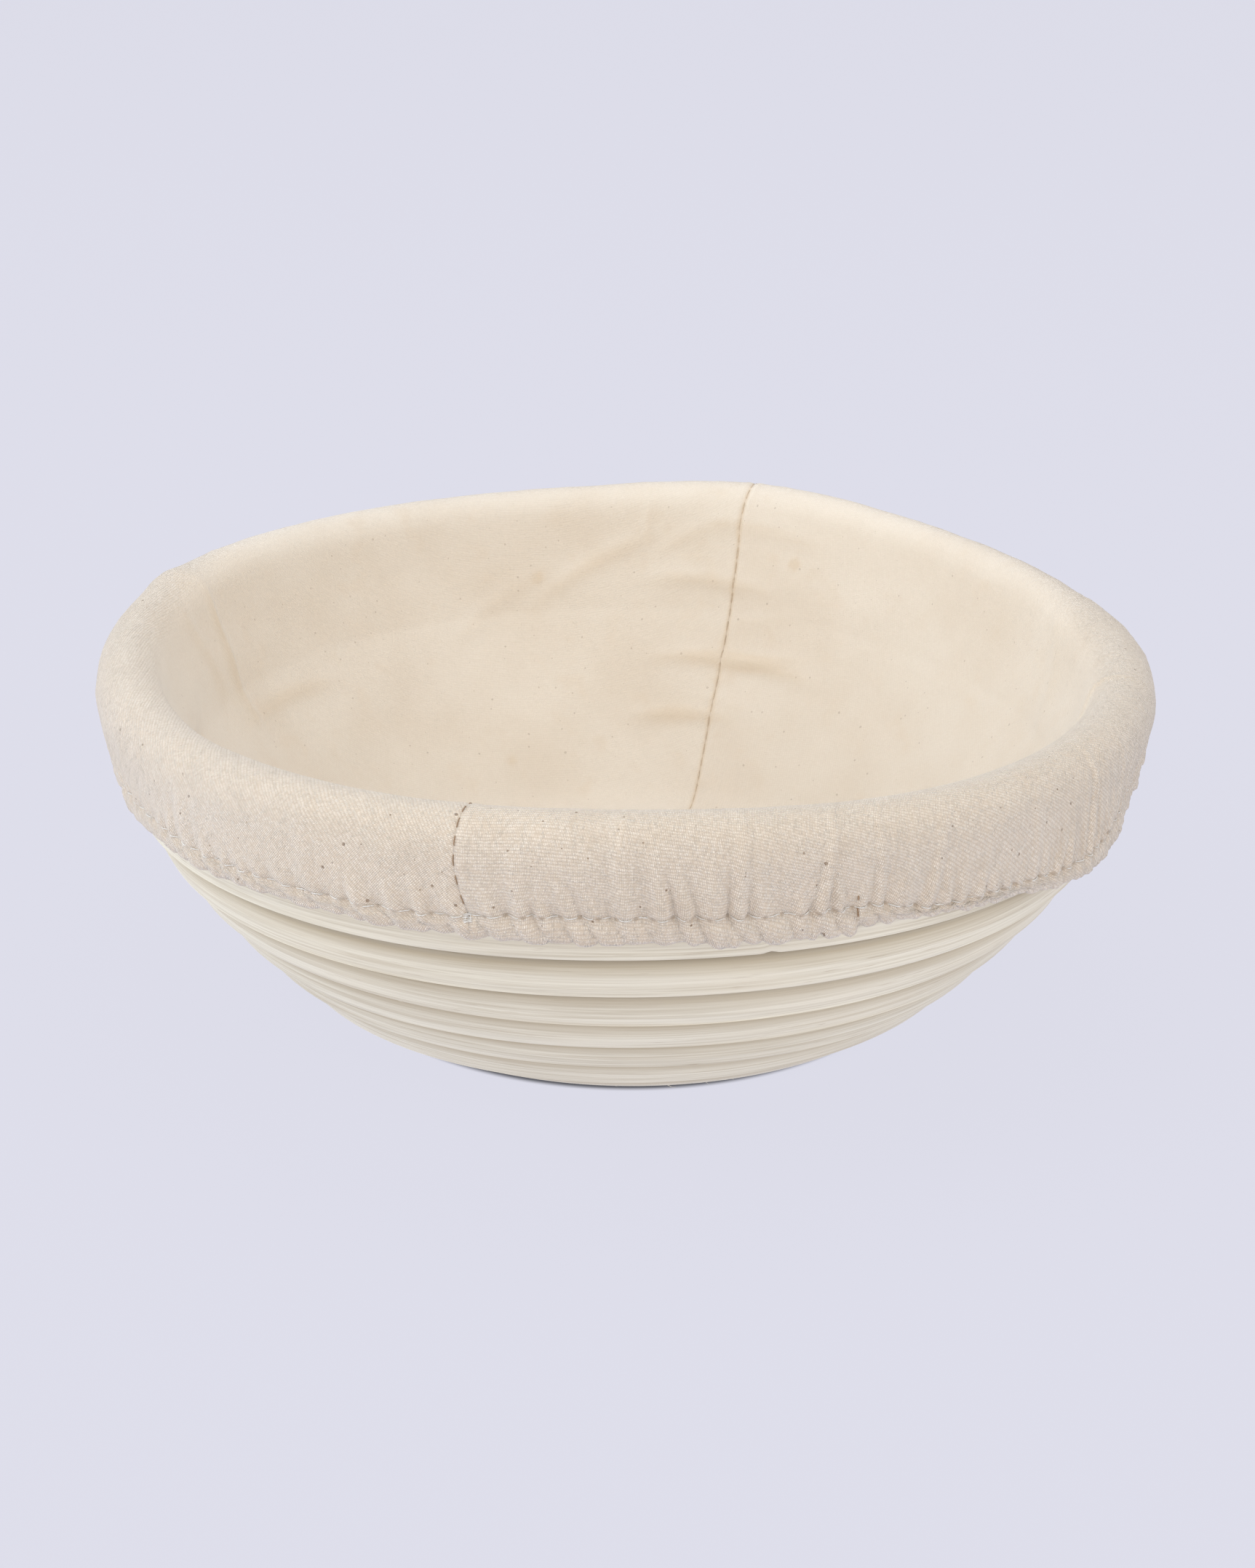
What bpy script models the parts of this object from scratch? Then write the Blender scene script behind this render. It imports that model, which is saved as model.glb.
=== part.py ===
"""A round proofing basket (banneton) of coiled rattan cane with an elasticated cloth liner.

The cane is one long spiral: it lies flat as the base, turns up through a tight bend and
climbs as a flaring wall. It is made of several lengths butted at slanting joints, and wire
brads hidden inside hold each turn to the one before. The liner is two half panels sewn
together across the basket. It lines the bowl, rolls over the rim and hangs down outside as a
skirt, whose hem is a channel with a ring of elastic in it.

Metres, +Z up. The origin is the centre of the underside, so the basket stands on z = 0.
The spiral climbs anticlockwise seen from above.

A point of the wall is given by two numbers. "along" is the distance from the centre of the
base, outwards along the base and then up the wall, and "out" is the distance from the middle
of the cane's thickness, positive towards the outside of the basket.
"""

import math

import bmesh
import bpy
from mathutils import Matrix, Vector

# The wall's section: a flat base, then three arcs that turn it up to the rim.
BASE_RADIUS = 0.0579
BEND_RADIUS = 0.0208
BEND_END = math.radians(42.6)
FLARE_RADIUS = 0.177
FLARE_END = math.radians(55.3)
RIM_CURVE_RADIUS = 0.0657
RIM_ALONG = 0.1518

# The cane: one turn of the spiral is one pitch further along the wall.
TURN_PITCH = 0.0104
TURN_STEPS = 24
CANE_OUT = 0.0052
CANE_IN = 0.0060
CANE_LEAN = 0.12
SHOULDER = 0.0024
INNER_BEVEL = 0.0030
CANE_GAP = 0.0003
CENTRE_HOLE = 0.0005
FACE_TOP = 0.30
INNER_FLAT = 0.35
TAPERED_THICKNESS = 0.55

# Where one length of cane ends and the next begins, in turns of the spiral from its centre.
# Each is half a step off the spiral's own sections, so that a joint lies on flat facets.
SPIRAL_START = 4.5 / TURN_STEPS
JOINT_TURNS = [(steps + 0.5) / TURN_STEPS for steps in (76, 127, 166, 198, 238, 270, 310, 338)]
SPIRAL_END = 360.5 / TURN_STEPS
JOINT_SLANT = 0.16

# The brads: headless wire pins in drilled holes, placed by steps up the spiral.
BRAD_LENGTH = 0.0140
BRAD_RADIUS = 0.0006
BRAD_SIDES = 6
BRAD_RECESS = 0.0006
HOLE_CLEARANCE = 0.0003
BASE_BRAD_SPACING = 16
WALL_BRAD_SPACING = 10
FIRST_BASE_BRAD = 44.5
LAST_BASE_BRAD = 132.0
FIRST_WALL_BRAD = 145.5
LAST_WALL_BRAD = 350.0

# The liner's cloth, its roll over the rim, its skirt and the hem.
CLOTH = 0.0006
CLOTH_GAP = 0.0003
SEAM_ANGLE = math.radians(73.7)
SEAM_GAP = 0.0003
ROLL_RADIUS = 0.00665
ROLL_DROP = 0.0049
ROLL_SHIFT = -0.00025
SKIRT_BULGE_Z = 0.0665
HEM_TOP_Z = 0.0612
HEM_Z = 0.0566
HEM_OUTER_RADIUS = 0.1152
HEM_PINCH = 0.0008
HEM_FOLD_RADIUS = 0.00080
ELASTIC_THICKNESS = 0.00035
ELASTIC_HEIGHT = 0.0034

# The sewing.
THREAD_RADIUS = 0.00025
THREAD_CLEARANCE = 0.0003
BAR_TACK_SIZE = (0.0036, 0.0008, 0.0050)
ELASTIC_TACK_ANGLE = math.radians(293.0)

SPIRAL_PHASE = SEAM_ANGLE - math.radians(30.0)
STEP_ANGLE = 2 * math.pi / TURN_STEPS

CANE_COLOUR = (0.66, 0.61, 0.53)
CLOTH_COLOUR = (0.72, 0.64, 0.54)
THREAD_COLOUR = (0.80, 0.77, 0.71)
SEAM_THREAD_COLOUR = (0.36, 0.25, 0.15)
ELASTIC_COLOUR = (0.82, 0.81, 0.78)
BRAD_COLOUR = (0.55, 0.55, 0.56)


# ---------------------------------------------------------------- the scene


def clear_scene():
    for obj in list(bpy.data.objects):
        bpy.data.objects.remove(obj)


def new_collection(name):
    collection = bpy.data.collections.new(name)
    bpy.context.scene.collection.children.link(collection)
    return collection


def new_material(name, colour, roughness, metallic=0.0):
    material = bpy.data.materials.new(name)
    material.use_nodes = True
    shader = material.node_tree.nodes["Principled BSDF"]
    shader.inputs["Base Color"].default_value = (*colour, 1.0)
    shader.inputs["Roughness"].default_value = roughness
    shader.inputs["Metallic"].default_value = metallic
    return material


def add_object(name, data, collection, material=None):
    obj = bpy.data.objects.new(name, data)
    collection.objects.link(obj)
    if material:
        data.materials.append(material)
    return obj


def shade_smooth(obj, sharp_degrees=35):
    obj.data.shade_smooth()
    obj.data.set_sharp_from_angle(angle=math.radians(sharp_degrees))


# ---------------------------------------------------------------- the wall's section


def wall_frame(along):
    """(radius, height, slope) of the middle of the cane's thickness at this distance."""
    radius = min(along, BASE_RADIUS)
    height = CANE_OUT
    slope = 0.0
    left = along - radius
    arcs = (
        (BEND_RADIUS, BEND_END),
        (FLARE_RADIUS, FLARE_END),
        (RIM_CURVE_RADIUS, math.pi),
    )
    for arc_radius, arc_end in arcs:
        if left <= 0:
            break
        turned = min(slope + left / arc_radius, arc_end)
        radius += arc_radius * (math.sin(turned) - math.sin(slope))
        height += arc_radius * (math.cos(slope) - math.cos(turned))
        left -= arc_radius * (turned - slope)
        slope = turned
    return radius, height, slope


def wall_point(along, out):
    """(radius, height) of a point of the wall."""
    radius, height, slope = wall_frame(along)
    return radius + out * math.sin(slope), height - out * math.cos(slope)


def around(radius, height, angle):
    return Vector((radius * math.cos(angle), radius * math.sin(angle), height))


# ---------------------------------------------------------------- the cane


def turn_edges(steps):
    """How far along the wall a turn's lower and upper faces are, this many steps up the spiral."""
    turns = steps / TURN_STEPS
    lower = max(TURN_PITCH * (turns - 0.5) + CANE_GAP / 2, CENTRE_HOLE)
    upper = min(TURN_PITCH * (turns + 0.5), RIM_ALONG) - CANE_GAP / 2
    return lower, upper


def lean_at(along):
    """The wall's turns lean, so that each one's lower edge stands proud of the turn below."""
    risen = (along - BASE_RADIUS) / TURN_PITCH
    return CANE_LEAN * min(max(risen / 2, 0.0), 1.0)


def cane_section(steps):
    """The cane's D-shaped outline, starting at its crisp lower outer corner.

    The last turn is cut to a long taper under the level rim, and thins as it gets lower.
    """
    lower, upper = turn_edges(steps)
    middle = (lower + upper) / 2
    half = (upper - lower) / 2
    lean = lean_at(middle)
    left = min((RIM_ALONG - lower) / TURN_PITCH, 1.0)
    thinned = TAPERED_THICKNESS + (1 - TAPERED_THICKNESS) * left
    outline = (
        (CANE_OUT, -half),
        (CANE_OUT, FACE_TOP * half),
        (CANE_OUT - SHOULDER, half),
        (-CANE_IN + INNER_BEVEL, half),
        (-CANE_IN, INNER_FLAT * half),
        (-CANE_IN, -INNER_FLAT * half),
        (-CANE_IN + INNER_BEVEL, -half),
    )
    angle = SPIRAL_PHASE + steps * STEP_ANGLE
    return [
        around(*wall_point(middle + rise, out * thinned - lean * rise), angle)
        for out, rise in outline
    ], [out for out, _ in outline]


def joint_section(steps, side):
    """The end face of a length, halfway between two of the spiral's sections.

    Lengths meet on a slant. The spiral's own first end, at the middle of the base, is square.
    """
    slant = JOINT_SLANT if steps > TURN_STEPS else 0.0
    before, outs = cane_section(math.floor(steps))
    after, _ = cane_section(math.floor(steps) + 1)
    length = max((b - a).length for a, b in zip(before, after))
    share = 0.5 + side * CANE_GAP / 2 / length
    return [
        a.lerp(b, share + slant * out / CANE_IN)
        for a, b, out in zip(before, after, outs)
    ]


def loft(name, sections, collection, material):
    """A closed body through a row of outlines that have the same number of corners."""
    bm = bmesh.new()
    rings = [[bm.verts.new(point) for point in section] for section in sections]
    for ring, following in zip(rings, rings[1:]):
        for i in range(len(ring)):
            j = (i + 1) % len(ring)
            bm.faces.new((ring[i], ring[j], following[j], following[i]))
    bm.faces.new(rings[0])
    bm.faces.new(rings[-1])
    bmesh.ops.recalc_face_normals(bm, faces=bm.faces)
    mesh = bpy.data.meshes.new(name)
    bm.to_mesh(mesh)
    bm.free()
    return add_object(name, mesh, collection, material)


def cane_length(name, start_turn, end_turn, holes, collection, material):
    start = start_turn * TURN_STEPS
    end = end_turn * TURN_STEPS
    sections = [joint_section(start, 1)]
    for steps in range(math.ceil(start), math.floor(end) + 1):
        sections.append(cane_section(steps)[0])
    sections.append(joint_section(end, -1))
    cane = loft(name, sections, collection, material)
    drill = cane.modifiers.new("brad holes", "BOOLEAN")
    drill.operation = "DIFFERENCE"
    drill.operand_type = "COLLECTION"
    drill.collection = holes
    shade_smooth(cane)
    return cane


# ---------------------------------------------------------------- the brads


def brad_places():
    """Steps up the spiral at which a brad goes in, clear of the joints in both turns it holds."""
    joints = [turns * TURN_STEPS for turns in JOINT_TURNS]
    rows = (
        (FIRST_BASE_BRAD, LAST_BASE_BRAD, BASE_BRAD_SPACING),
        (FIRST_WALL_BRAD, LAST_WALL_BRAD, WALL_BRAD_SPACING),
    )
    for steps, last, spacing in rows:
        while steps < last:
            if all(
                abs(place - joint) >= 2
                for joint in joints
                for place in (steps, steps - TURN_STEPS)
            ):
                yield steps
            steps += spacing


def brad_axis(steps):
    """The middle of a turn's upper face and a point one brad further down the wall."""
    ends = []
    for back in (0.0, BRAD_LENGTH):
        beside = []
        for section in (math.floor(steps), math.floor(steps) + 1):
            upper = turn_edges(section)[1]
            angle = SPIRAL_PHASE + section * STEP_ANGLE
            beside.append(around(*wall_point(upper - back, 0.0), angle))
        ends.append(beside[0].lerp(beside[1], 0.5))
    return ends


def rod(name, top, foot, radius, collection, material=None):
    """A round rod between two points."""
    bm = bmesh.new()
    bmesh.ops.create_cone(
        bm,
        cap_ends=True,
        segments=BRAD_SIDES,
        radius1=radius,
        radius2=radius,
        depth=(top - foot).length,
    )
    mesh = bpy.data.meshes.new(name)
    bm.to_mesh(mesh)
    bm.free()
    obj = add_object(name, mesh, collection, material)
    turn = (top - foot).to_track_quat("Z", "Y").to_matrix().to_4x4()
    obj.matrix_world = Matrix.Translation((top + foot) / 2) @ turn
    return obj


def drill_and_fill(number, steps, parts, holes, material):
    """A brad and the cutter for its hole, which opens in the upper turn's upper face."""
    top, foot = brad_axis(steps)
    down = (foot - top).normalized()
    brad = rod(
        f"wire_brad_{number:02d}",
        top + down * BRAD_RECESS,
        foot,
        BRAD_RADIUS,
        parts,
        material,
    )
    shade_smooth(brad, 50)
    cutter = rod(
        f"brad_hole_{number:02d}",
        top - down * CANE_GAP / 2,
        foot + down * HOLE_CLEARANCE,
        BRAD_RADIUS + HOLE_CLEARANCE,
        holes,
    )
    cutter.hide_render = True
    cutter.display_type = "WIRE"


# ---------------------------------------------------------------- the liner


def arc_points(centre, radius, start, end, count):
    """Points on an arc in the section plane; an angle of 0 points outwards and 90 up."""
    points = []
    for i in range(count):
        angle = math.radians(start + (end - start) * i / (count - 1))
        points.append(
            (
                centre[0] + radius * math.cos(angle),
                centre[1] + radius * math.sin(angle),
            )
        )
    return points


def roll_centre():
    """The middle of the cloth's roll over the rim."""
    return wall_point(RIM_ALONG - ROLL_DROP, ROLL_SHIFT)


def bowl_points():
    """The middle of the cloth inside the basket, from the centre up to the roll."""
    out = -(CANE_IN + CANE_LEAN * TURN_PITCH / 4 + CLOTH_GAP + CLOTH / 2)
    bend_end = BASE_RADIUS + BEND_RADIUS * BEND_END
    bend_steps = 5
    wall_steps = 7
    wall_end = RIM_ALONG - ROLL_DROP - CLOTH
    places = [0.0, BASE_RADIUS / 2]
    places += [BASE_RADIUS + (bend_end - BASE_RADIUS) * i / bend_steps for i in range(bend_steps)]
    places += [bend_end + (wall_end - bend_end) * i / wall_steps for i in range(wall_steps)]
    return [wall_point(along, out) for along in places]


def skirt_points():
    """The roll over the rim, the skirt, and the hem folded up inside it."""
    centre = roll_centre()
    outside = centre[0] + ROLL_RADIUS
    fold = (HEM_OUTER_RADIUS - HEM_FOLD_RADIUS, HEM_Z + HEM_FOLD_RADIUS)
    hem_height = HEM_TOP_Z - fold[1]
    points = arc_points(centre, ROLL_RADIUS, 180, 0, 9)
    points.append((outside, SKIRT_BULGE_Z))
    points.append((HEM_OUTER_RADIUS + HEM_PINCH, HEM_TOP_Z))
    points += arc_points(fold, HEM_FOLD_RADIUS, 0, -180, 5)
    inside = fold[0] - HEM_FOLD_RADIUS
    points.append((inside + HEM_PINCH, fold[1] + hem_height))
    return points


def turned(name, points, collection, material, sweep, steps, closed=False):
    """A profile in the section plane, turned about +Z."""
    bm = bmesh.new()
    corners = [bm.verts.new((radius, 0.0, height)) for radius, height in points]
    pairs = list(zip(corners, corners[1:]))
    if closed:
        pairs.append((corners[-1], corners[0]))
    for pair in pairs:
        bm.edges.new(pair)
    mesh = bpy.data.meshes.new(name)
    bm.to_mesh(mesh)
    bm.free()
    obj = add_object(name, mesh, collection, material)
    screw = obj.modifiers.new("turn", "SCREW")
    screw.axis = "Z"
    screw.angle = sweep
    screw.steps = steps
    screw.render_steps = steps
    screw.use_smooth_shade = True
    screw.use_merge_vertices = True
    screw.merge_threshold = 0.00001
    return obj


def liner_panel(name, start_angle, collection, material):
    """Half of the liner. Its straight edge stands back from the seam by half the gap."""
    panel = turned(
        name,
        bowl_points() + skirt_points(),
        collection,
        material,
        math.pi,
        TURN_STEPS // 2,
    )
    cloth = panel.modifiers.new("cloth", "SOLIDIFY")
    cloth.thickness = CLOTH
    cloth.offset = 0.0
    cloth.use_even_offset = True
    panel.rotation_euler.z = start_angle
    middle = start_angle + math.pi / 2
    panel.location = around(SEAM_GAP / 2, 0.0, middle)
    return panel


def hem_elastic(collection, material):
    """A flat elastic ring inside the hem's channel."""
    middle = HEM_OUTER_RADIUS - HEM_FOLD_RADIUS
    low = HEM_Z + HEM_FOLD_RADIUS
    high = low + ELASTIC_HEIGHT
    lean = HEM_PINCH * ELASTIC_HEIGHT / (HEM_TOP_Z - low)
    half = ELASTIC_THICKNESS / 2
    outline = (
        (middle + lean + half, high),
        (middle + half, low),
        (middle - half, low),
        (middle + lean - half, high),
    )
    ring = turned(
        "hem_elastic",
        outline,
        collection,
        material,
        2 * math.pi,
        TURN_STEPS,
        closed=True,
    )
    ring.rotation_euler.z = SEAM_ANGLE
    return ring


# ---------------------------------------------------------------- the sewing


def thread(name, points, collection, material, cyclic=False):
    """Sewing thread as a thin tube through these points."""
    curve = bpy.data.curves.new(name, "CURVE")
    curve.dimensions = "3D"
    curve.bevel_depth = THREAD_RADIUS
    curve.bevel_resolution = 0
    curve.use_fill_caps = not cyclic
    spline = curve.splines.new("POLY")
    spline.points.add(len(points) - 1)
    for corner, point in zip(spline.points, points):
        corner.co = (*point, 1.0)
    spline.use_cyclic_u = cyclic
    return add_object(name, curve, collection, material)


def hem_thread(collection, material):
    """The row of stitches above the elastic, just outside the skirt."""
    stand_off = CLOTH / 2 + THREAD_CLEARANCE + THREAD_RADIUS
    radius = HEM_OUTER_RADIUS + HEM_PINCH + stand_off
    points = [around(radius, HEM_TOP_Z, SEAM_ANGLE + i * STEP_ANGLE) for i in range(TURN_STEPS)]
    return thread("hem_stitch_thread", points, collection, material, cyclic=True)


def seam_half(angle):
    """The seam's line from the centre of the bowl over the rim to just above the hem."""
    stand_off = CLOTH / 2 + THREAD_CLEARANCE + THREAD_RADIUS
    inside = -(CANE_IN + CANE_LEAN * TURN_PITCH / 4 + CLOTH_GAP + CLOTH / 2 + stand_off)
    bend_end = BASE_RADIUS + BEND_RADIUS * BEND_END
    wall_end = RIM_ALONG - ROLL_DROP - CLOTH
    places = [BASE_RADIUS * share for share in (0.25, 0.6, 1.0)]
    places += [BASE_RADIUS + (bend_end - BASE_RADIUS) * share for share in (0.25, 0.5, 0.75, 1.0)]
    places += [bend_end + (wall_end - bend_end) * i / 6 for i in range(1, 6)]
    section = [wall_point(along, inside) for along in places]
    section += arc_points(roll_centre(), ROLL_RADIUS + stand_off, 180, 0, 9)
    section.append((roll_centre()[0] + ROLL_RADIUS + stand_off, SKIRT_BULGE_Z))
    section.append((HEM_OUTER_RADIUS + HEM_PINCH + stand_off + 0.0002, HEM_TOP_Z + 0.0016))
    return [around(radius, height, angle) for radius, height in section]


def seam_thread(collection, material):
    """The seam's stitches, from the skirt at the front across the bowl to the skirt behind."""
    front = seam_half(SEAM_ANGLE + math.pi)
    back = seam_half(SEAM_ANGLE)
    return thread("seam_stitch_thread", front[::-1] + back, collection, material)


def bar_tack(name, angle, collection, material):
    """A dense block of stitches across the hem, proud of the skirt."""
    bm = bmesh.new()
    bmesh.ops.create_cube(bm, size=1.0)
    bmesh.ops.scale(bm, vec=BAR_TACK_SIZE, verts=bm.verts)
    mesh = bpy.data.meshes.new(name)
    bm.to_mesh(mesh)
    bm.free()
    tack = add_object(name, mesh, collection, material)
    stand_off = CLOTH / 2 + 2 * CLOTH_GAP + BAR_TACK_SIZE[1] / 2
    radius = HEM_OUTER_RADIUS + HEM_PINCH + stand_off
    height = HEM_TOP_Z - BAR_TACK_SIZE[2] / 2 - 2 * THREAD_RADIUS - THREAD_CLEARANCE
    tack.location = around(radius, height, angle)
    tack.rotation_euler.z = angle - math.pi / 2
    bevel = tack.modifiers.new("soft edges", "BEVEL")
    bevel.width = 0.0002
    bevel.segments = 1
    return tack


# ---------------------------------------------------------------- the whole


def build_cane(parts, holes):
    cane = new_material("cane", CANE_COLOUR, 0.75)
    ends = [SPIRAL_START, *JOINT_TURNS, SPIRAL_END]
    names = ["base_cane_inner", "base_cane_outer"]
    names += [f"wall_cane_{i}" for i in range(1, len(ends) - 3)]
    names.append("rim_cane")
    for name, start, end in zip(names, ends, ends[1:]):
        cane_length(name, start, end, holes, parts, cane)


def build_brads(parts, holes):
    steel = new_material("brad_steel", BRAD_COLOUR, 0.4, 1.0)
    for number, steps in enumerate(brad_places(), 1):
        drill_and_fill(number, steps, parts, holes, steel)


def build_liner(parts):
    cloth = new_material("liner_cloth", CLOTH_COLOUR, 0.9)
    elastic = new_material("elastic", ELASTIC_COLOUR, 0.7)
    white = new_material("white_thread", THREAD_COLOUR, 0.7)
    brown = new_material("seam_thread", SEAM_THREAD_COLOUR, 0.8)
    liner_panel("liner_panel_left", SEAM_ANGLE, parts, cloth)
    liner_panel("liner_panel_right", SEAM_ANGLE + math.pi, parts, cloth)
    hem_elastic(parts, elastic)
    hem_thread(parts, white)
    seam_thread(parts, brown)
    bar_tack("seam_bar_tack_front", SEAM_ANGLE + math.pi, parts, white)
    bar_tack("seam_bar_tack_back", SEAM_ANGLE, parts, white)
    bar_tack("elastic_bar_tack", ELASTIC_TACK_ANGLE, parts, brown)


def main():
    clear_scene()
    parts = new_collection("banneton_basket")
    holes = new_collection("brad_hole_cutters")
    build_brads(parts, holes)
    build_cane(parts, holes)
    build_liner(parts)


main()
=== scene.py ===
"""The looks of a round proofing basket (banneton) of coiled cane with an elasticated cloth liner.

Metres, +Z up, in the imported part's own frame. The basket stands on z = 0 and the camera looks
along +Y. Every CAD node is stood for by a finer piece on the same spiral and the same section.

A point of the wall is given by "along", the distance from the centre of the base outwards and
up the wall, and "out", the distance from the middle of the cane towards the outside. A point of
the liner is given by its angle round the basket and by "run", the distance along the cloth from
the centre of the bowl, up the wall, over the rim, down the skirt and round the hem's fold.
"""

import math

import bpy
import numpy as np
from mathutils import Matrix, Vector


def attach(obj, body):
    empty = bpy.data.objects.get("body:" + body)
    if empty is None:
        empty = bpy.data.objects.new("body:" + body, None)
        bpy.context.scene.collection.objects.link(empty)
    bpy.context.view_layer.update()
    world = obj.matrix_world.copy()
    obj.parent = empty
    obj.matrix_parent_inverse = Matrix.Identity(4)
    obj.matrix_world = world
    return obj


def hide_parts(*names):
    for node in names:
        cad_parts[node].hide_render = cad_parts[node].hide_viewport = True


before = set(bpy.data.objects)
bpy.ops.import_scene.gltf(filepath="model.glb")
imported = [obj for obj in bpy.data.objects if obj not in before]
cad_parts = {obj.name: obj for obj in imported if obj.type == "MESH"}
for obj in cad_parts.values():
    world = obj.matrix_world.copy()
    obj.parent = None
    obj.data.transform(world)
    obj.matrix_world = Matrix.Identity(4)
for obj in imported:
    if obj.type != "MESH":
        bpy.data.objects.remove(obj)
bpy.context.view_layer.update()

TURN = 2 * math.pi
MM = 0.001

# The wall's section and the cane, as in the CAD.
BASE_RADIUS = 57.9 * MM
BEND_RADIUS = 20.8 * MM
BEND_END = math.radians(42.6)
FLARE_RADIUS = 177.0 * MM
FLARE_END = math.radians(55.3)
RIM_CURVE_RADIUS = 65.7 * MM
RIM_ALONG = 151.8 * MM
TURN_PITCH = 10.4 * MM
TURN_STEPS = 24
CANE_OUT = 5.2 * MM
CANE_IN = 6.0 * MM
CANE_LEAN = 0.12
SHOULDER = 2.4 * MM
INNER_BEVEL = 3.0 * MM
CANE_GAP = 0.3 * MM
CENTRE_HOLE = 0.5 * MM
FACE_TOP = 0.30
INNER_FLAT = 0.35
TAPERED_THICKNESS = 0.55
SPIRAL_START = 4.5
JOINT_STEPS = [76.5, 127.5, 166.5, 198.5, 238.5, 270.5, 310.5, 338.5]
SPIRAL_END = 360.5
JOINT_SLANT = 0.16
SEAM_ANGLE = math.radians(73.7)
SPIRAL_PHASE = SEAM_ANGLE - math.radians(30.0)
STEP_ANGLE = TURN / TURN_STEPS

# The cane's fine surface.
SECTIONS_PER_STEP = 6
CORNER_RADIUS = 0.30 * MM
FACE_BULGE = 0.10 * MM
FACE_LEAN = 0.17
GRAIN_DEPTH = 0.045 * MM
EDGE_WANDER = 0.24 * MM
JOINT_GAP = 0.15 * MM
CHIP_STEP = 304.1

# The liner's cloth and its section.
CLOTH = 0.5 * MM
BOWL_OUT = -(CANE_IN + CANE_LEAN * TURN_PITCH / 4 + 0.6 * MM)
RIM_CURVE = (
    (97.1, 53.0), (99.5, 60.4), (101.1, 67.0), (102.0, 71.6), (102.7, 74.9), (104.2, 77.4),
    (106.6, 78.7), (109.4, 78.95), (112.7, 77.8), (115.05, 75.0), (116.05, 71.2),
)
STITCH_RADIUS = 115.1 * MM
STITCH_Z = 61.0 * MM
HEM_RADIUS = 113.95 * MM
HEM_FOLD = 0.75 * MM
HEM_Z = 56.35 * MM
CHANNEL_TOP = 60.7 * MM
GRAIN_LEVEL_ANGLE = math.radians(262)
OPENING = 0.6  # how far the skirt's ring turns on the flat cloth for each turn of the basket
WARP_PITCH = 0.30 * MM
WEFT_PITCH = 0.61 * MM
STITCH_COUNT = 196
SEAM_STITCH_PITCH = 3.6 * MM
TIGHT_ANGLE = math.radians(329)  # where the hem's gathers are closest together
TURNED_UNDER_ANGLE = math.radians(190)  # where the hem is turned under at the left


# ---------------------------------------------------------------- small tools


def smooth(x, low, high):
    """0 below low, 1 above high and an even S between them."""
    t = np.clip((x - low) / (high - low), 0, 1)
    return t * t * (3 - 2 * t)


def bell(x, width):
    return np.exp(-((x / width) ** 2))


def waves(seed, coordinates, wavelength, count=14):
    """Smooth noise from about -1 to 1: waves of nearly this length in random directions."""
    rng = np.random.default_rng(seed)
    total = 0.0
    for _ in range(count):
        direction = rng.normal(size=len(coordinates))
        direction *= TURN / wavelength * rng.uniform(0.6, 1.5) / np.linalg.norm(direction)
        phase = rng.uniform(0, TURN)
        total = total + np.cos(sum(d * c for d, c in zip(direction, coordinates)) + phase)
    return total / math.sqrt(count)


def unit(vectors):
    return vectors / np.maximum(np.linalg.norm(vectors, axis=-1, keepdims=True), 1e-12)


def add_mesh(name, points, faces, material, sharp_degrees=None):
    mesh = bpy.data.meshes.new(name)
    mesh.from_pydata(np.asarray(points).reshape(-1, 3).tolist(), [], faces)
    mesh.shade_smooth()
    if sharp_degrees:
        mesh.set_sharp_from_angle(angle=math.radians(sharp_degrees))
    mesh.materials.append(material)
    obj = bpy.data.objects.new(name, mesh)
    bpy.context.scene.collection.objects.link(obj)
    return obj


def add_attribute(obj, name, kind, values):
    attribute = obj.data.attributes.new(name, kind, "POINT")
    values = np.ascontiguousarray(values, np.float32).ravel()
    attribute.data.foreach_set("vector" if kind == "FLOAT_VECTOR" else "value", values)


def stands_for(piece, node, body):
    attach(piece, body)
    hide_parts(node)
    return piece


def tube_rings(lines, ups, radii, sides):
    """Rings of points round each of many lines: an array of lines, points, sides and 3."""
    tangents = unit(np.gradient(lines, axis=1))
    across = unit(np.cross(tangents, ups))
    upright = np.cross(across, tangents)
    angles = np.arange(sides) * TURN / sides
    spokes = (
        np.cos(angles)[:, None] * across[:, :, None] + np.sin(angles)[:, None] * upright[:, :, None]
    )
    return lines[:, :, None] + np.asarray(radii)[..., None, None] * spokes


def tube_faces(count, length, sides):
    """Faces of that many capped tubes."""
    faces = []
    for tube in range(count):
        start = tube * length * sides
        for ring in range(length - 1):
            row = start + ring * sides
            for side in range(sides):
                after = (side + 1) % sides
                faces.append((row + side, row + after, row + sides + after, row + sides + side))
        faces.append(tuple(range(start + sides - 1, start - 1, -1)))
        last = start + (length - 1) * sides
        faces.append(tuple(range(last, last + sides)))
    return faces


def add_tubes(name, lines, ups, radii, sides, material):
    """Capped tubes along many lines, as one mesh. radii is for each line or for all of them."""
    lines = np.array(lines)
    radii = radii + np.zeros((len(lines), 1))
    rings = tube_rings(lines, np.array(ups), radii, sides)
    return add_mesh(name, rings, tube_faces(len(lines), lines.shape[1], sides), material)


# ---------------------------------------------------------------- the wall's section


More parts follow.
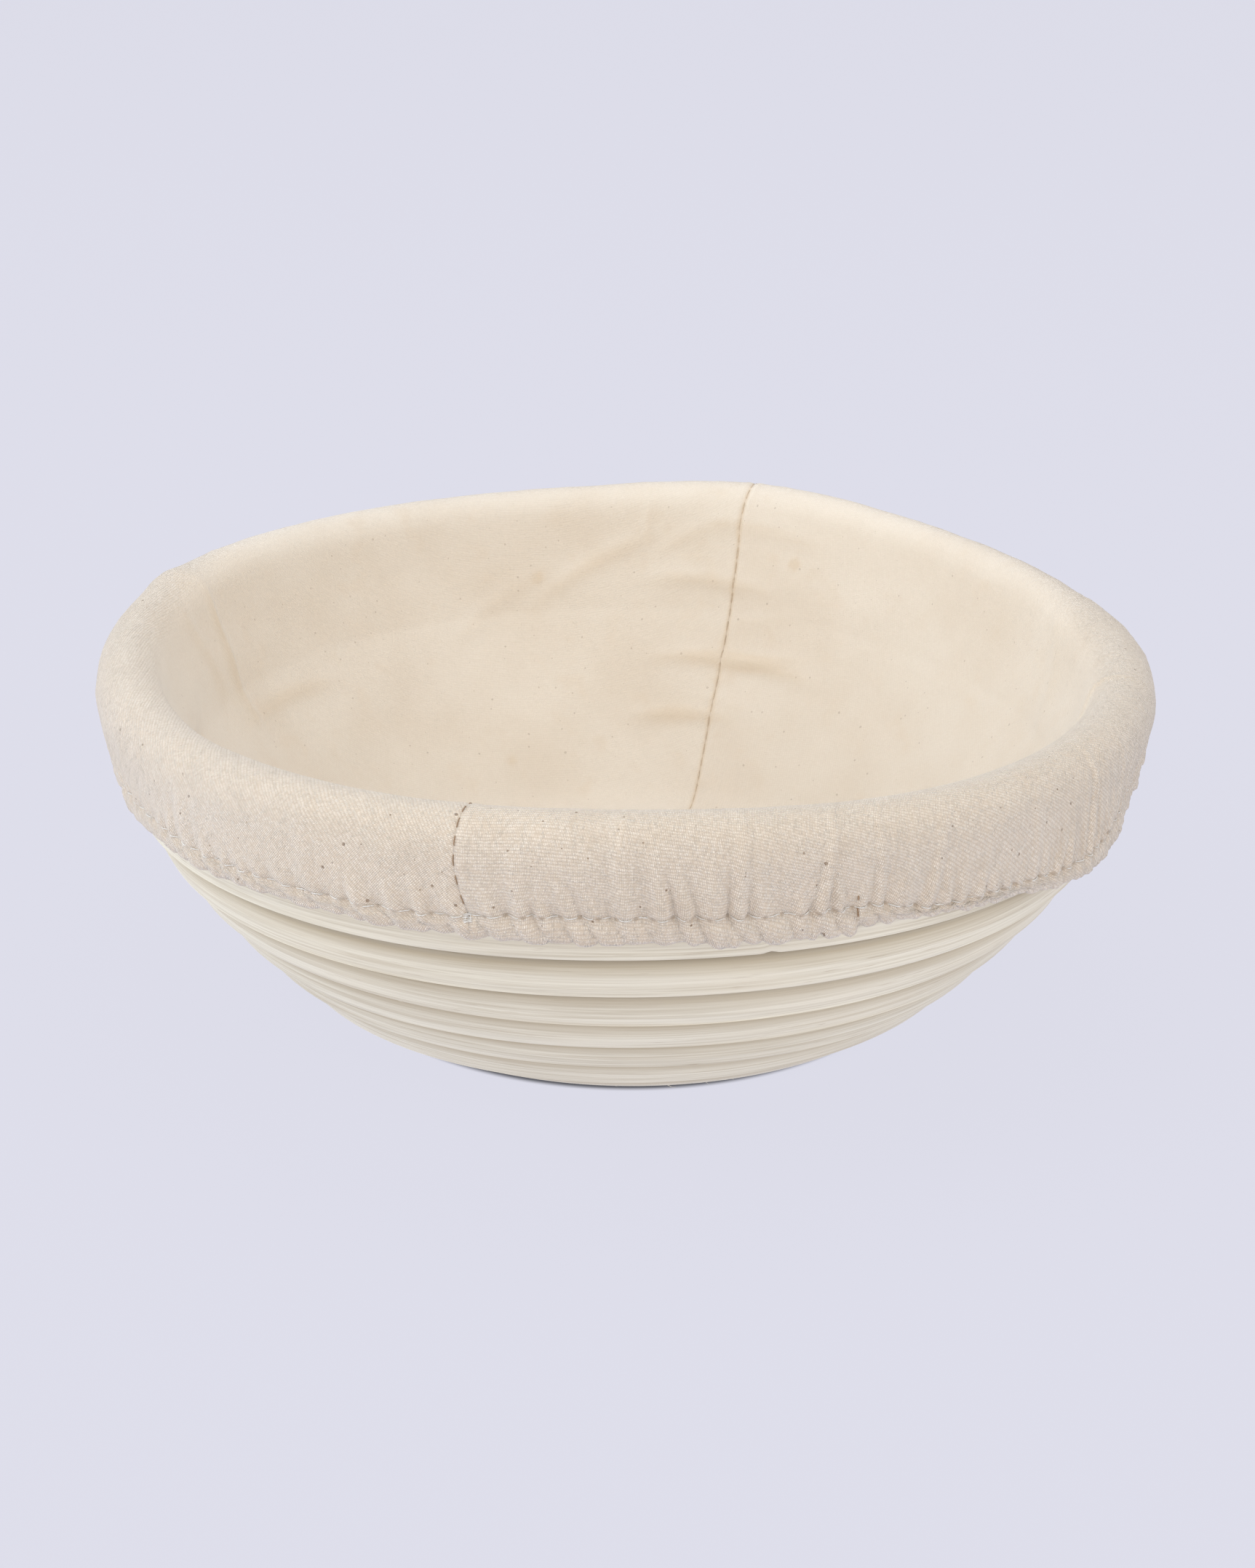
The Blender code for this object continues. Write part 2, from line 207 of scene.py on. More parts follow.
def wall_frame(along):
    """(radius, height, slope) of the middle of the cane's thickness at this distance."""
    along = np.asarray(along, float)
    radius = np.minimum(along, BASE_RADIUS)
    height = np.full_like(radius, CANE_OUT)
    slope = np.zeros_like(radius)
    left = along - radius
    arcs = (
        (BEND_RADIUS, BEND_END),
        (FLARE_RADIUS, FLARE_END),
        (RIM_CURVE_RADIUS, math.pi),
    )
    for arc_radius, arc_end in arcs:
        turned = np.where(left > 0, np.minimum(slope + left / arc_radius, arc_end), slope)
        radius = radius + arc_radius * (np.sin(turned) - np.sin(slope))
        height = height + arc_radius * (np.cos(slope) - np.cos(turned))
        left = np.maximum(left - arc_radius * (turned - slope), 0.0)
        slope = turned
    return radius, height, slope


def wall_point(along, out):
    radius, height, slope = wall_frame(along)
    return radius + out * np.sin(slope), height - out * np.cos(slope)


# How the real rim sways from level, and where its wall is pressed in: degrees round the
# basket, degrees of spread, and millimetres up or out.
RIM_SWAY = (
    (72.5, 20, 3.3),
    (24, 14, -0.8),
    (158, 22, 0.9),
    (162.5, 3.5, 1.1),
    (212, 14, -1.1),
    (273, 30, 2.9),
)
WALL_PRESS = ((182, 20, -2.2), (343, 12, -2.6))
PRESSED_Z = 60.0 * MM
# Where the skirt hangs loose above the hem, in the same terms.
LOOSE_SKIRT = ((326, 9, 1.4),)


def angle_from(angle, middle):
    """The angle from middle, between minus and plus half a turn."""
    return (angle - middle + math.pi) % TURN - math.pi


def spread_of(angle, bumps):
    """The sum of soft bumps round the basket, in metres."""
    total = 0.0
    for degrees, spread, size in bumps:
        aside = angle_from(angle, math.radians(degrees))
        total = total + size * MM * bell(aside, math.radians(spread))
    return total


def handmade(radius, height, angle):
    """A point of the basket, moved as the real one is: its rim isn't quite level or round."""
    share = np.clip(height / (75 * MM), 0, 1.2) ** 2
    pressed = spread_of(angle, WALL_PRESS) * bell(height - PRESSED_Z, 7.5 * MM)
    radius = radius + pressed
    height = height + share * (spread_of(angle, RIM_SWAY) - 1.1 * MM)
    return np.stack([radius * np.cos(angle), radius * np.sin(angle), height], axis=-1)


# ---------------------------------------------------------------- the cane


def boundary(steps):
    """The distance along the wall of the joint between two turns, which wanders a little."""
    height = TURN_PITCH * steps / TURN_STEPS
    wander = EDGE_WANDER * waves(11, (steps * STEP_ANGLE,), 2.4)
    return height + wander * np.clip((height - 20 * MM) / (30 * MM), 0, 1)


def cane_section(steps):
    """Points of the cane's section at each of these steps, and each point's place round it.

    The outline runs from the crisp lower outer corner up the face, over the rounded shoulder,
    across the top and down the rounded inner side.
    """
    half_turn = TURN_STEPS / 2
    lower = np.maximum(boundary(steps - half_turn) + CANE_GAP / 2, CENTRE_HOLE)
    upper = np.minimum(boundary(steps + half_turn), RIM_ALONG) - CANE_GAP / 2
    lower = lower + 0.45 * MM * bell(steps - CHIP_STEP, 0.04)
    middle = ((lower + upper) / 2)[:, None]
    half = ((upper - lower) / 2)[:, None]
    lean = FACE_LEAN * np.clip((middle - BASE_RADIUS) / TURN_PITCH / 2, 0, 1)
    left = np.minimum((RIM_ALONG - lower) / TURN_PITCH, 1)[:, None]
    thinned = TAPERED_THICKNESS + (1 - TAPERED_THICKNESS) * left

    ones = np.ones_like(half)
    outs = []
    rises = []
    corner = np.minimum(CORNER_RADIUS, half / 2)
    for turned in np.radians([-90, -55, -20]):
        outs.append(CANE_OUT - corner + corner * math.cos(turned))
        rises.append(-half + corner + corner * math.sin(turned))
    for share in np.linspace(0.0, 1.0, 9):
        outs.append(CANE_OUT * ones + FACE_BULGE * math.sin(math.pi * share))
        rises.append(-half + corner + share * ((1 + FACE_TOP) * half - corner))
    for turned in np.radians([15, 30, 45, 60, 75, 90]):
        outs.append((CANE_OUT - SHOULDER + SHOULDER * math.cos(turned)) * ones)
        rises.append((FACE_TOP + (1 - FACE_TOP) * math.sin(turned)) * half)
    for side in (1, -1):
        for turned in np.radians([90, 60, 30, 5])[::side]:
            outs.append((INNER_BEVEL - CANE_IN - INNER_BEVEL * math.cos(turned)) * ones)
            rises.append(side * (INNER_FLAT + (1 - INNER_FLAT) * math.sin(turned)) * half)
    outs = np.concatenate(outs, axis=1)
    rises = np.concatenate(rises, axis=1)

    count = outs.shape[1]
    place = np.arange(count)[None] * np.ones_like(steps)[:, None]
    turns = (steps * STEP_ANGLE)[:, None]
    fibre = waves(21, (place * 2.9, turns * 2.0), 4.0)
    outs = outs + GRAIN_DEPTH * fibre
    flat = middle + rises
    radius, height = wall_point(flat, outs * thinned - lean * rises)
    return radius, height, outs, rises, place


def cane_length(name, first, last, tone, material):
    """One length of cane, cut on a slant at both ends."""
    count = round((last - first) * SECTIONS_PER_STEP)
    steps = np.linspace(first, last, count + 1)
    if first < CHIP_STEP < last:
        steps = np.union1d(steps, CHIP_STEP + np.linspace(-0.13, 0.13, 11))
    radius, height, outs, rises, place = cane_section(steps)
    near_first = np.clip(1 - (steps - first), 0, 1)[:, None]
    near_last = np.clip(1 - (last - steps), 0, 1)[:, None]
    if first < TURN_STEPS:  # the spiral's own start is cut square
        near_first = 0 * near_first
    slant = JOINT_SLANT * near_first + JOINT_SLANT * near_last
    angle = SPIRAL_PHASE + (steps[:, None] + slant * outs / CANE_IN) * STEP_ANGLE
    gap = JOINT_GAP / np.maximum(radius, 5 * MM)
    angle = angle + gap * near_first
    angle = angle - gap * near_last
    points = handmade(radius, height, angle)
    rings, sides = points.shape[:2]
    faces = tube_faces(1, rings, sides)
    cane = add_mesh(name, points, faces, material, 40)

    length = np.cumsum(np.r_[0, np.linalg.norm(np.diff(points.mean(axis=1), axis=0), axis=1)])
    girth = np.cumsum(
        np.linalg.norm(np.diff(points, axis=1, prepend=points[:, :1]), axis=2), axis=1
    )
    height_share = rises / np.abs(rises).max(axis=1, keepdims=True)
    # The shoulder's browner colour: partly the skin's own tan, partly painted shade under the turn
    # above.
    shoulder = smooth(height_share, -0.25, 0.55) * (outs > 0)
    # Painted shade: dark on the faces that lie against the next turn, and on the upper part of the
    # shoulder where the turn above overhangs it.
    under = (outs < CANE_OUT - 0.6 * CORNER_RADIUS) & (outs > -CANE_IN / 2)
    painted_shade_between_turns = np.where(under & (np.abs(height_share) > 0.97), 1.0, 0.0)
    painted_shade_between_turns = np.maximum(painted_shade_between_turns, (outs > 0) * 0.58 * smooth(height_share, 0.42, 0.88))
    rim = (steps > SPIRAL_END - TURN_STEPS)[:, None] & (rises > 0)
    painted_shade_between_turns = np.where(rim, 0.0, painted_shade_between_turns)
    tones = tone * np.ones_like(girth)
    grain = np.stack([length[:, None] + tones, girth, tones], axis=-1)
    add_attribute(cane, "grain", "FLOAT_VECTOR", grain)
    add_attribute(cane, "shoulder", "FLOAT", shoulder)
    add_attribute(cane, "painted_shade_between_turns", "FLOAT", painted_shade_between_turns)
    return cane


def build_cane(material):
    ends = [SPIRAL_START, *JOINT_STEPS, SPIRAL_END]
    nodes = ["base_cane_inner", "base_cane_outer"]
    nodes += [f"wall_cane_{i}" for i in range(1, len(ends) - 3)]
    nodes.append("rim_cane")
    tones = np.random.default_rng(5).uniform(0, 1, len(nodes))
    for node, first, last, tone in zip(nodes, ends, ends[1:], tones):
        piece = cane_length(node + "_fine", first, last, tone, material)
        stands_for(piece, node, "basket")


# ---------------------------------------------------------------- the liner's section


def curve_through(points, count):
    """A smooth line through these points, with this many points to each span."""
    points = np.asarray(points, float)
    padded = np.concatenate([[2 * points[0] - points[1]], points, [2 * points[-1] - points[-2]]])
    share = np.linspace(0, 1, count, endpoint=False)[:, None]
    spans = []
    for before, start, end, after in zip(padded, padded[1:], padded[2:], padded[3:]):
        spans.append(
            start
            + 0.5 * share * (end - before)
            + share**2 * (before - 2.5 * start + 2 * end - 0.5 * after)
            + share**3 * (-0.5 * before + 1.5 * start - 1.5 * end + 0.5 * after)
        )
    return np.concatenate([*spans, points[-1:]])


def liner_section():
    """The middle of the cloth as a dense line: (run, radius, height, facing out, facing up)."""
    bowl = np.stack(wall_point(np.linspace(0, 118 * MM, 1200), BOWL_OUT), axis=1)
    rim = curve_through([bowl[-240], bowl[-1], *(np.array(RIM_CURVE) * MM)], 60)[61:]
    outside = [
        rim[-1],
        (116.0 * MM, 67.8 * MM),
        (115.75 * MM, 64.4 * MM),
        (STITCH_RADIUS, STITCH_Z),
        (STITCH_RADIUS - 0.05 * MM, 59.2 * MM),
        (HEM_RADIUS + HEM_FOLD, HEM_Z + HEM_FOLD),
    ]
    skirt = curve_through(outside, 60)[1:]
    turned = np.radians(np.linspace(0, -180, 41))[1:]
    fold = np.stack(
        [HEM_RADIUS + HEM_FOLD * np.cos(turned), HEM_Z + HEM_FOLD + HEM_FOLD * np.sin(turned)],
        axis=1,
    )
    up = np.linspace(0, 1, 40)[1:, None]
    inner = fold[-1] + up * (np.array([fold[-1, 0] + 0.3 * MM, CHANNEL_TOP]) - fold[-1])
    line = np.concatenate([bowl, rim, skirt, fold, inner])
    run = np.cumsum(np.r_[0, np.linalg.norm(np.diff(line, axis=0), axis=1)])
    ends = np.cumsum([len(part) for part in (bowl, rim, skirt, fold, inner)]) - 1
    rim_run = run[ends[0] + 1 : ends[1] + 1]
    skirt_run = run[ends[1] + 1 : ends[2] + 1]
    marks = {
        "roll": np.interp(67 * MM, rim[:300, 1], rim_run[:300]),
        "skirt": run[ends[1]],
        "stitch": np.interp(-STITCH_Z, -skirt[:, 1], skirt_run),
        "fold": run[ends[2]],
        "inner": run[ends[3]],
        "end": run[-1],
    }
    even = np.arange(0, run[-1], 0.1 * MM)
    line = np.stack([np.interp(even, run, line[:, 0]), np.interp(even, run, line[:, 1])], axis=1)
    tangent = unit(np.gradient(line, axis=0))
    facing = np.stack([-tangent[:, 1], tangent[:, 0]], axis=1)
    return even, line, facing, marks, run[: len(bowl)]


SECTION_RUN, SECTION_LINE, SECTION_FACING, MARK, SECTION_LENGTHS = liner_section()


# ---------------------------------------------------------------- gathers, seam and creases


def make_scallops():
    """Where the hem's puffs meet round the basket, with each puff's size."""
    rng = np.random.default_rng(31)
    edges = [0.0]
    while edges[-1] < TURN:
        tight = bell(edges[-1] - TIGHT_ANGLE, math.radians(24))
        edges.append(edges[-1] + rng.uniform(4.2, 7.2) * MM * (1 - 0.42 * tight) / STITCH_RADIUS)
    edges = np.array(edges) * TURN / edges[-1]
    return edges, rng.uniform(0.35, 1.0, len(edges) - 1)


def make_folds():
    """Folds that run up the skirt from the hem's puffs: angle, slant, length, width, height."""
    rng = np.random.default_rng(33)
    folds = []
    for left, right in zip(SCALLOP_EDGES, SCALLOP_EDGES[1:]):
        tight = float(bell(left - TIGHT_ANGLE, math.radians(22)))
        loose = float(bell(left - TURNED_UNDER_ANGLE, math.radians(22)))
        angle = left + (right - left) * rng.uniform(0.35, 0.65)
        slant = rng.normal(0.04, 0.12) - 0.30 * tight
        length = rng.choice([3.0, 4.5, 7.0, 11.0, 15.0]) * rng.uniform(0.7, 1.2) * MM
        length = length * (1 + 0.25 * tight) * (1 - 0.55 * loose)
        width = (right - left) * STITCH_RADIUS * rng.uniform(0.16, 0.30)
        height = rng.uniform(0.25, 0.75) * MM * (1 - 0.6 * loose)
        folds.append((angle, slant, length, width, height))
    return folds


SCALLOP_EDGES, SCALLOP_SIZES = make_scallops()
SKIRT_FOLDS = make_folds()


def gathers(angle, run):
    """(how far the cloth puffs out, how far it hangs lower) because of the elastic."""
    below = run - MARK["stitch"]
    middle = (angle + 2 * TURN) % TURN
    lean = 0.30 + 0.35 * np.cos(middle - math.radians(238))
    slid = (middle - lean * np.clip(below, -1 * MM, 5 * MM) / STITCH_RADIUS) % TURN
    index = np.clip(np.searchsorted(SCALLOP_EDGES, slid) - 1, 0, len(SCALLOP_SIZES) - 1)
    left = SCALLOP_EDGES[index]
    share = np.clip((slid - left) / (SCALLOP_EDGES[index + 1] - left), 0, 1)
    puff = SCALLOP_SIZES[index] * np.sin(math.pi * share) ** 0.55
    above = np.exp(np.minimum(below, 0) / (2.2 * MM)) * (1 - smooth(below, 0, 1.5 * MM))
    hem = smooth(below, 0.3 * MM, 2.4 * MM) * (1 - smooth(run, MARK["fold"], MARK["end"]))
    full = 1 + 0.55 * bell(middle - math.radians(279), math.radians(20))
    amount = puff * full * (0.50 * MM * above + 0.95 * MM * hem)
    lower = puff * 0.70 * MM * smooth(below, 1.5 * MM, 4.0 * MM)
    onto_hem = 1 - 0.6 * smooth(below, -0.5 * MM, 2.5 * MM)
    for at, slant, length, width, height in SKIRT_FOLDS:
        aside = angle_from(middle, at) * STITCH_RADIUS - slant * below
        near = np.abs(aside) < 5 * width
        ridge = bell(aside, width) - 0.5 * bell(np.abs(aside) - 1.9 * width, 0.8 * width)
        fade = np.exp(-((np.minimum(below, 0) / length) ** 2))
        amount = amount + near * full * height * ridge * fade * onto_hem
    return amount, lower


def stitch_drop(angle, height):
    """How much lower than level the row of stitches sits at the left and at the right."""
    degrees = np.degrees(angle) % 360
    left = 1.8 * MM * smooth(degrees, 205, 225) * (1 - smooth(degrees, 246, 262))
    right = 3.0 * MM * smooth(degrees, 294, 303) * (1 - smooth(degrees, 317, 331))
    fold = 1 - smooth(height, 57 * MM, 60.5 * MM)
    near = 1 - smooth(height, 62 * MM, 73 * MM)
    return near * (left * (1 - fold) + right * (1 - 0.6 * fold))


def hem_shift(angle, height):
    """(outwards, upwards): how the hem is turned under at the left and narrower at the right."""
    under = bell(angle_from(angle, TURNED_UNDER_ANGLE), math.radians(14))
    depth = 1 - smooth(height, 57 * MM, 61.5 * MM)
    degrees = np.degrees(angle) % 360
    narrow = smooth(degrees, 292.4, 293.4) * (1 - smooth(degrees, 303, 320))
    raised = (0.9 * MM * under + 1.5 * MM * narrow) * (1 - smooth(height, 57 * MM, 60 * MM))
    return -1.2 * MM * under * depth, raised - stitch_drop(angle, height)


def seam_wander(angle, run):
    """The seam isn't quite straight: how far the cloth near it is shifted round the basket."""
    back = -0.4 * MM + 1.55 * MM * smooth(run, 38 * MM, 88 * MM)
    back = back - 0.5 * MM * smooth(run, 105 * MM, 133 * MM)
    back = back - 1.3 * MM * smooth(run, 134 * MM, 146 * MM)
    back = back + 0.65 * MM * smooth(run, 150 * MM, 165 * MM)
    front = 0.6 * MM * smooth(run, 60 * MM, 140 * MM)
    front = front + 3.0 * MM * smooth(run, MARK["skirt"] - 1 * MM, MARK["fold"])
    near_back = bell(np.sin((angle - SEAM_ANGLE) / 2), 0.22)
    near_front = bell(np.sin((angle - SEAM_ANGLE - math.pi) / 2), 0.22)
    return near_back * back + near_front * front


def seam_distance(angle, radius):
    """Distance from the seam's straight line across the basket."""
    return radius * np.sin(angle - SEAM_ANGLE)


# Soft folds inside the bowl: angle (degrees), along the wall (mm), half length (mm), width (mm),
# turned from level (degrees) and height (mm).
CREASES = (
    (71.5, 107.8, 20, 2.0, 2, 1.15),
    (66.0, 109.0, 9, 1.5, -12, 0.60),
    (79.0, 92.0, 13, 1.9, -3, 0.90),
    (72.0, 96.0, 8, 1.6, 8, 0.40),
    (77.0, 129.0, 15, 1.7, 4, 0.80),
    (69.5, 143.0, 14, 1.6, 3, 0.75),
    (68.0, 120.0, 9, 1.5, -10, 0.40),
    (80.5, 141.0, 11, 1.8, -24, 0.60),
    (94.5, 134.0, 18, 2.2, -27, 0.75),
    (110.5, 124.0, 16, 2.6, -34, 0.45),
    (87.0, 145.5, 5, 1.3, 88, 0.60),
    (161.0, 131.0, 17, 1.3, 88, 0.95),
    (167.0, 137.0, 13, 2.2, 70, 0.50),
    (151.5, 113.8, 18, 2.4, 1, 0.85),
    (30.0, 118.0, 16, 3.5, 20, 0.40),
    (12.0, 137.0, 15, 2.6, 62, 0.45),
    (8.0, 100.0, 20, 3.5, -14, 0.35),
    (205.0, 120.0, 18, 4.0, 16, 0.30),
    (348.5, 148.5, 11, 1.1, 86, 0.85),
    (353.0, 141.0, 8, 1.2, 70, 0.40),
)
# Faint marks on the cloth: angle (degrees), along the wall (mm), width (mm) and strength. The wide
# ones at 163 and 152 degrees are painted shade on the left wall.
STAINS_AND_PAINTED_SHADE = (
    (112.9, 80.3, 1.6, 1.0),
    (103.2, 130.4, 1.4, 1.2),
    (65.1, 135.7, 1.5, 1.5),
    (163.0, 130.0, 12.0, 0.30),
    (152.0, 122.0, 10.0, 0.28),
    (100.0, 147.0, 4.0, 0.40),
    (96.0, 139.0, 5.0, 0.35),
    (72.0, 108.0, 7.0, 0.40),
    (80.0, 92.0, 6.0, 0.35),
    (140.0, 100.0, 9.0, 0.25),
)
CREASE_BEND = 3.0  # how much a crease curves: metres aside for each square metre along it
SHORT_CREASE = 8  # half length in mm below which a crease fades from its middle on


def run_up_wall(along):
    """How far along the cloth a place lies that is this far along the wall."""
    table = np.linspace(0, 118 * MM, 1200)
    return np.interp(along, table, SECTION_LENGTHS) + 0.93 * np.maximum(along - 118 * MM, 0)


def offset_from(angle, run, degrees, along):
    """(distance round the basket, distance up the cloth) from a place given as in the lists."""
    at = run_up_wall(along * MM)
    place_radius = np.interp(at, SECTION_RUN, SECTION_LINE[:, 0])
    return angle_from(angle, math.radians(degrees)) * place_radius, run - at


def marks(angle, run):
    """How strongly the cloth is marked: stains, and painted shade on the left wall."""
    total = np.zeros(np.broadcast(angle, run).shape)
    for degrees, along, width, strength in STAINS_AND_PAINTED_SHADE:
        far = np.hypot(*offset_from(angle, run, degrees, along))
        total = total + strength * bell(far, width * MM)
    return total


def creases(angle, run):
    """The height of the soft folds inside the bowl."""
    total = np.zeros(np.broadcast(angle, run).shape)
    for degrees, along, half_length, width, tilt, height in CREASES:
        across, upward = offset_from(angle, run, degrees, along)
        cosine = math.cos(math.radians(tilt))
        sine = math.sin(math.radians(tilt))
        lengthwise = across * cosine + upward * sine
        sideways = upward * cosine - across * sine + CREASE_BEND * lengthwise**2
        reach = half_length * MM
        if half_length < SHORT_CREASE:
            fade = bell(lengthwise, reach) ** 2
        else:
            fade = np.exp(-((lengthwise / reach) ** 4))
        total = total + height * MM * fade * bell(sideways, width * MM)
    return total


def liner_points(angle, run):
    """The middle of the cloth at this angle and this far along its section."""
    run = np.clip(run, 0, SECTION_RUN[-1])
    radius = np.interp(run, SECTION_RUN, SECTION_LINE[:, 0])
    height = np.interp(run, SECTION_RUN, SECTION_LINE[:, 1])
    facing_out = np.interp(run, SECTION_RUN, SECTION_FACING[:, 0])
    facing_up = np.interp(run, SECTION_RUN, SECTION_FACING[:, 1])
    space = (radius * np.cos(angle), radius * np.sin(angle), height)

    bowl = smooth(run, 20 * MM, 70 * MM) * (1 - smooth(run, MARK["roll"] - 12 * MM, MARK["roll"]))
    outside = smooth(run, MARK["roll"] + 6 * MM, MARK["skirt"])
    hem = 1 - smooth(run, MARK["fold"], MARK["fold"] + 1 * MM)
    rise = bowl * 0.42 * MM * (1 + waves(41, space, 44 * MM))
    rise = rise + bowl * 0.16 * MM * (1 + waves(42, space, 17 * MM))
    rise = rise + outside * hem * 0.12 * MM * waves(43, space, 13 * MM)
    rise = rise + creases(angle, run) * (1 - smooth(run, MARK["roll"] + 2 * MM, MARK["skirt"]))

    aside = np.abs(seam_distance(angle, radius))
    pucker = 1 + 0.6 * waves(44, (run + 0 * angle,), 4.2 * MM)
    groove = 0.16 * MM * pucker * bell(aside - 1.5 * MM, 0.9 * MM)
    groove = groove - (0.06 + 0.14 * outside) * MM * bell(aside, 0.55 * MM)
    rise = rise + groove * hem
    puff, lower = gathers(angle, run)
    rise = rise + puff * outside
    rise = rise - 0.42 * MM * bell(run - MARK["stitch"], 0.50 * MM)
    loose = spread_of(angle, LOOSE_SKIRT) * smooth(run, MARK["skirt"], MARK["stitch"])
    rise = rise + loose * hem
    lower = lower + 1.9 * loose * smooth(run, MARK["skirt"], MARK["fold"])

    shift = seam_wander(angle, run) / np.maximum(radius, 20 * MM)
    turned_in, raised = hem_shift(angle, height)
    radius = radius + facing_out * rise + turned_in * outside
    height = height + facing_up * rise + (raised - lower) * outside
    return handmade(radius, height, angle + shift)


def liner_frame(angle, run, lift=0.0):
    """Points on the cloth's face, lifted off its middle, with the way it faces."""
    angle, run = np.broadcast_arrays(np.asarray(angle, float), np.asarray(run, float))
    nudge = 0.1 * MM
    turn = nudge / (100 * MM)
    around = liner_points(angle + turn, run) - liner_points(angle - turn, run)
    onward = liner_points(angle, run + nudge) - liner_points(angle, run - nudge)
    facing = unit(np.cross(onward, around))
    return liner_points(angle, run) + np.asarray(lift)[..., None] * facing, facing


# ---------------------------------------------------------------- the liner's panels


def panel_angles():
    """Angles across half the liner, close together beside the seam. An odd number of them."""
    edge = np.array([0.02, 0.2, 0.45, 0.75, 1.1, 1.5, 2.0, 2.6]) * MM / STITCH_RADIUS
    inside = np.linspace(edge[-1], math.pi - edge[-1], 500)[1:-1]
    angles = np.concatenate([edge, inside, (math.pi - edge)[::-1]])
    if len(angles) % 2 == 0:
        angles = np.delete(angles, len(angles) // 2)
    return angles


def panel_runs():
    """Places along the section of the bowl's rows and of the finer rows outside it."""
    base = [2, 5, 9, 14, 19, 25, 31, 37, 43, 48, 52]
    wall = np.linspace(55, MARK["roll"] / MM - 1, 58)
    roll = np.linspace(MARK["roll"] / MM, MARK["skirt"] / MM, 15)
    skirt = np.linspace(MARK["skirt"] / MM, MARK["stitch"] / MM - 1.4, 12)[1:]
    hem = np.linspace(MARK["stitch"] / MM - 1.0, MARK["fold"] / MM, 12)
    fold = np.linspace(MARK["fold"] / MM, MARK["inner"] / MM, 7)[1:]
    inner = np.linspace(MARK["inner"] / MM, MARK["end"] / MM, 5)[1:]
    return (
        np.concatenate([base, wall]) * MM,
        np.concatenate([roll, skirt, hem, fold, inner]) * MM,
    )


def grid_faces(first, rows, columns):
    row, column = np.meshgrid(np.arange(rows - 1), np.arange(columns - 1), indexing="ij")
    corner = (first + row * columns + column).ravel()
    return np.stack([corner, corner + 1, corner + columns + 1, corner + columns], axis=1).tolist()


def liner_panel(name, start_angle, grain_degrees, material):
    """Half of the liner: a grid of few columns in the bowl and twice as many outside it."""
    fine = start_angle + panel_angles()
    coarse = fine[::2]
    bowl_runs, outer_runs = panel_runs()
    bowl_angle, bowl_run = np.meshgrid(coarse, bowl_runs)
    outer_angle, outer_run = np.meshgrid(fine, outer_runs)
    angle = np.concatenate([[start_angle + math.pi / 2], bowl_angle.ravel(), outer_angle.ravel()])
    run = np.concatenate([[0.0], bowl_run.ravel(), outer_run.ravel()])
    points = liner_points(angle, run)

    bowl_first = 1  # point 0 is the middle of the bowl
    outer_first = bowl_first + bowl_angle.size
    columns = len(coarse)
    faces = [(0, bowl_first + i + 1, bowl_first + i) for i in range(columns - 1)]
    faces += grid_faces(bowl_first, len(bowl_runs), columns)
    last_row = outer_first - columns
    for i in range(columns - 1):
        inner = last_row + i
        outer = outer_first + 2 * i
        faces.append((inner, inner + 1, outer + 2, outer + 1, outer))
    faces += grid_faces(outer_first, len(outer_runs), len(fine))
    faces = [tuple(reversed(face)) for face in faces]
    panel = add_mesh(name, points, faces, material)

    cloth = panel.modifiers.new("cloth", "SOLIDIFY")
    cloth.thickness = CLOTH
    cloth.offset = 0.0

    add_weave(panel, angle, run, start_angle, grain_degrees)
    # The skirt's looks begin further over the rim behind than in front.
    later = 7 * MM * smooth(np.sin(angle), 0.1, 0.6)
    outside = smooth(run - later, MARK["roll"] + 3 * MM, MARK["roll"] + 16 * MM)
    add_attribute(panel, "outside", "FLOAT", outside)
    add_sewing_stains_and_painted_shade(panel, angle, run, outside)
    return panel


def add_weave(panel, angle, run, start_angle, grain_degrees):
    """Where each point lies on the flat cloth, from the bowl's pattern and from the skirt's."""
    turned = math.radians(grain_degrees)
    spin = np.array([[math.cos(turned), -math.sin(turned)], [math.sin(turned), math.cos(turned)]])
    around = angle - start_angle
    flat = np.stack([run * np.cos(around), run * np.sin(around)], axis=1)
    # The skirt is a ring cut out of a cone, opened flat.
    opened = OPENING * (angle - GRAIN_LEVEL_ANGLE)
    reach = STITCH_RADIUS / OPENING + run - MARK["stitch"]
    rolled = np.stack([reach * np.sin(opened), -reach * np.cos(opened)], axis=1)
    drift = 0.6 * MM * waves(51, (rolled[:, 0], rolled[:, 1]), 45 * MM)
    rolled = rolled + drift[:, None]
    for label, where in (("weave_bowl", flat @ spin.T), ("weave_skirt", rolled @ spin.T)):
        add_attribute(panel, label, "FLOAT_VECTOR", np.c_[where, np.zeros(len(where))])


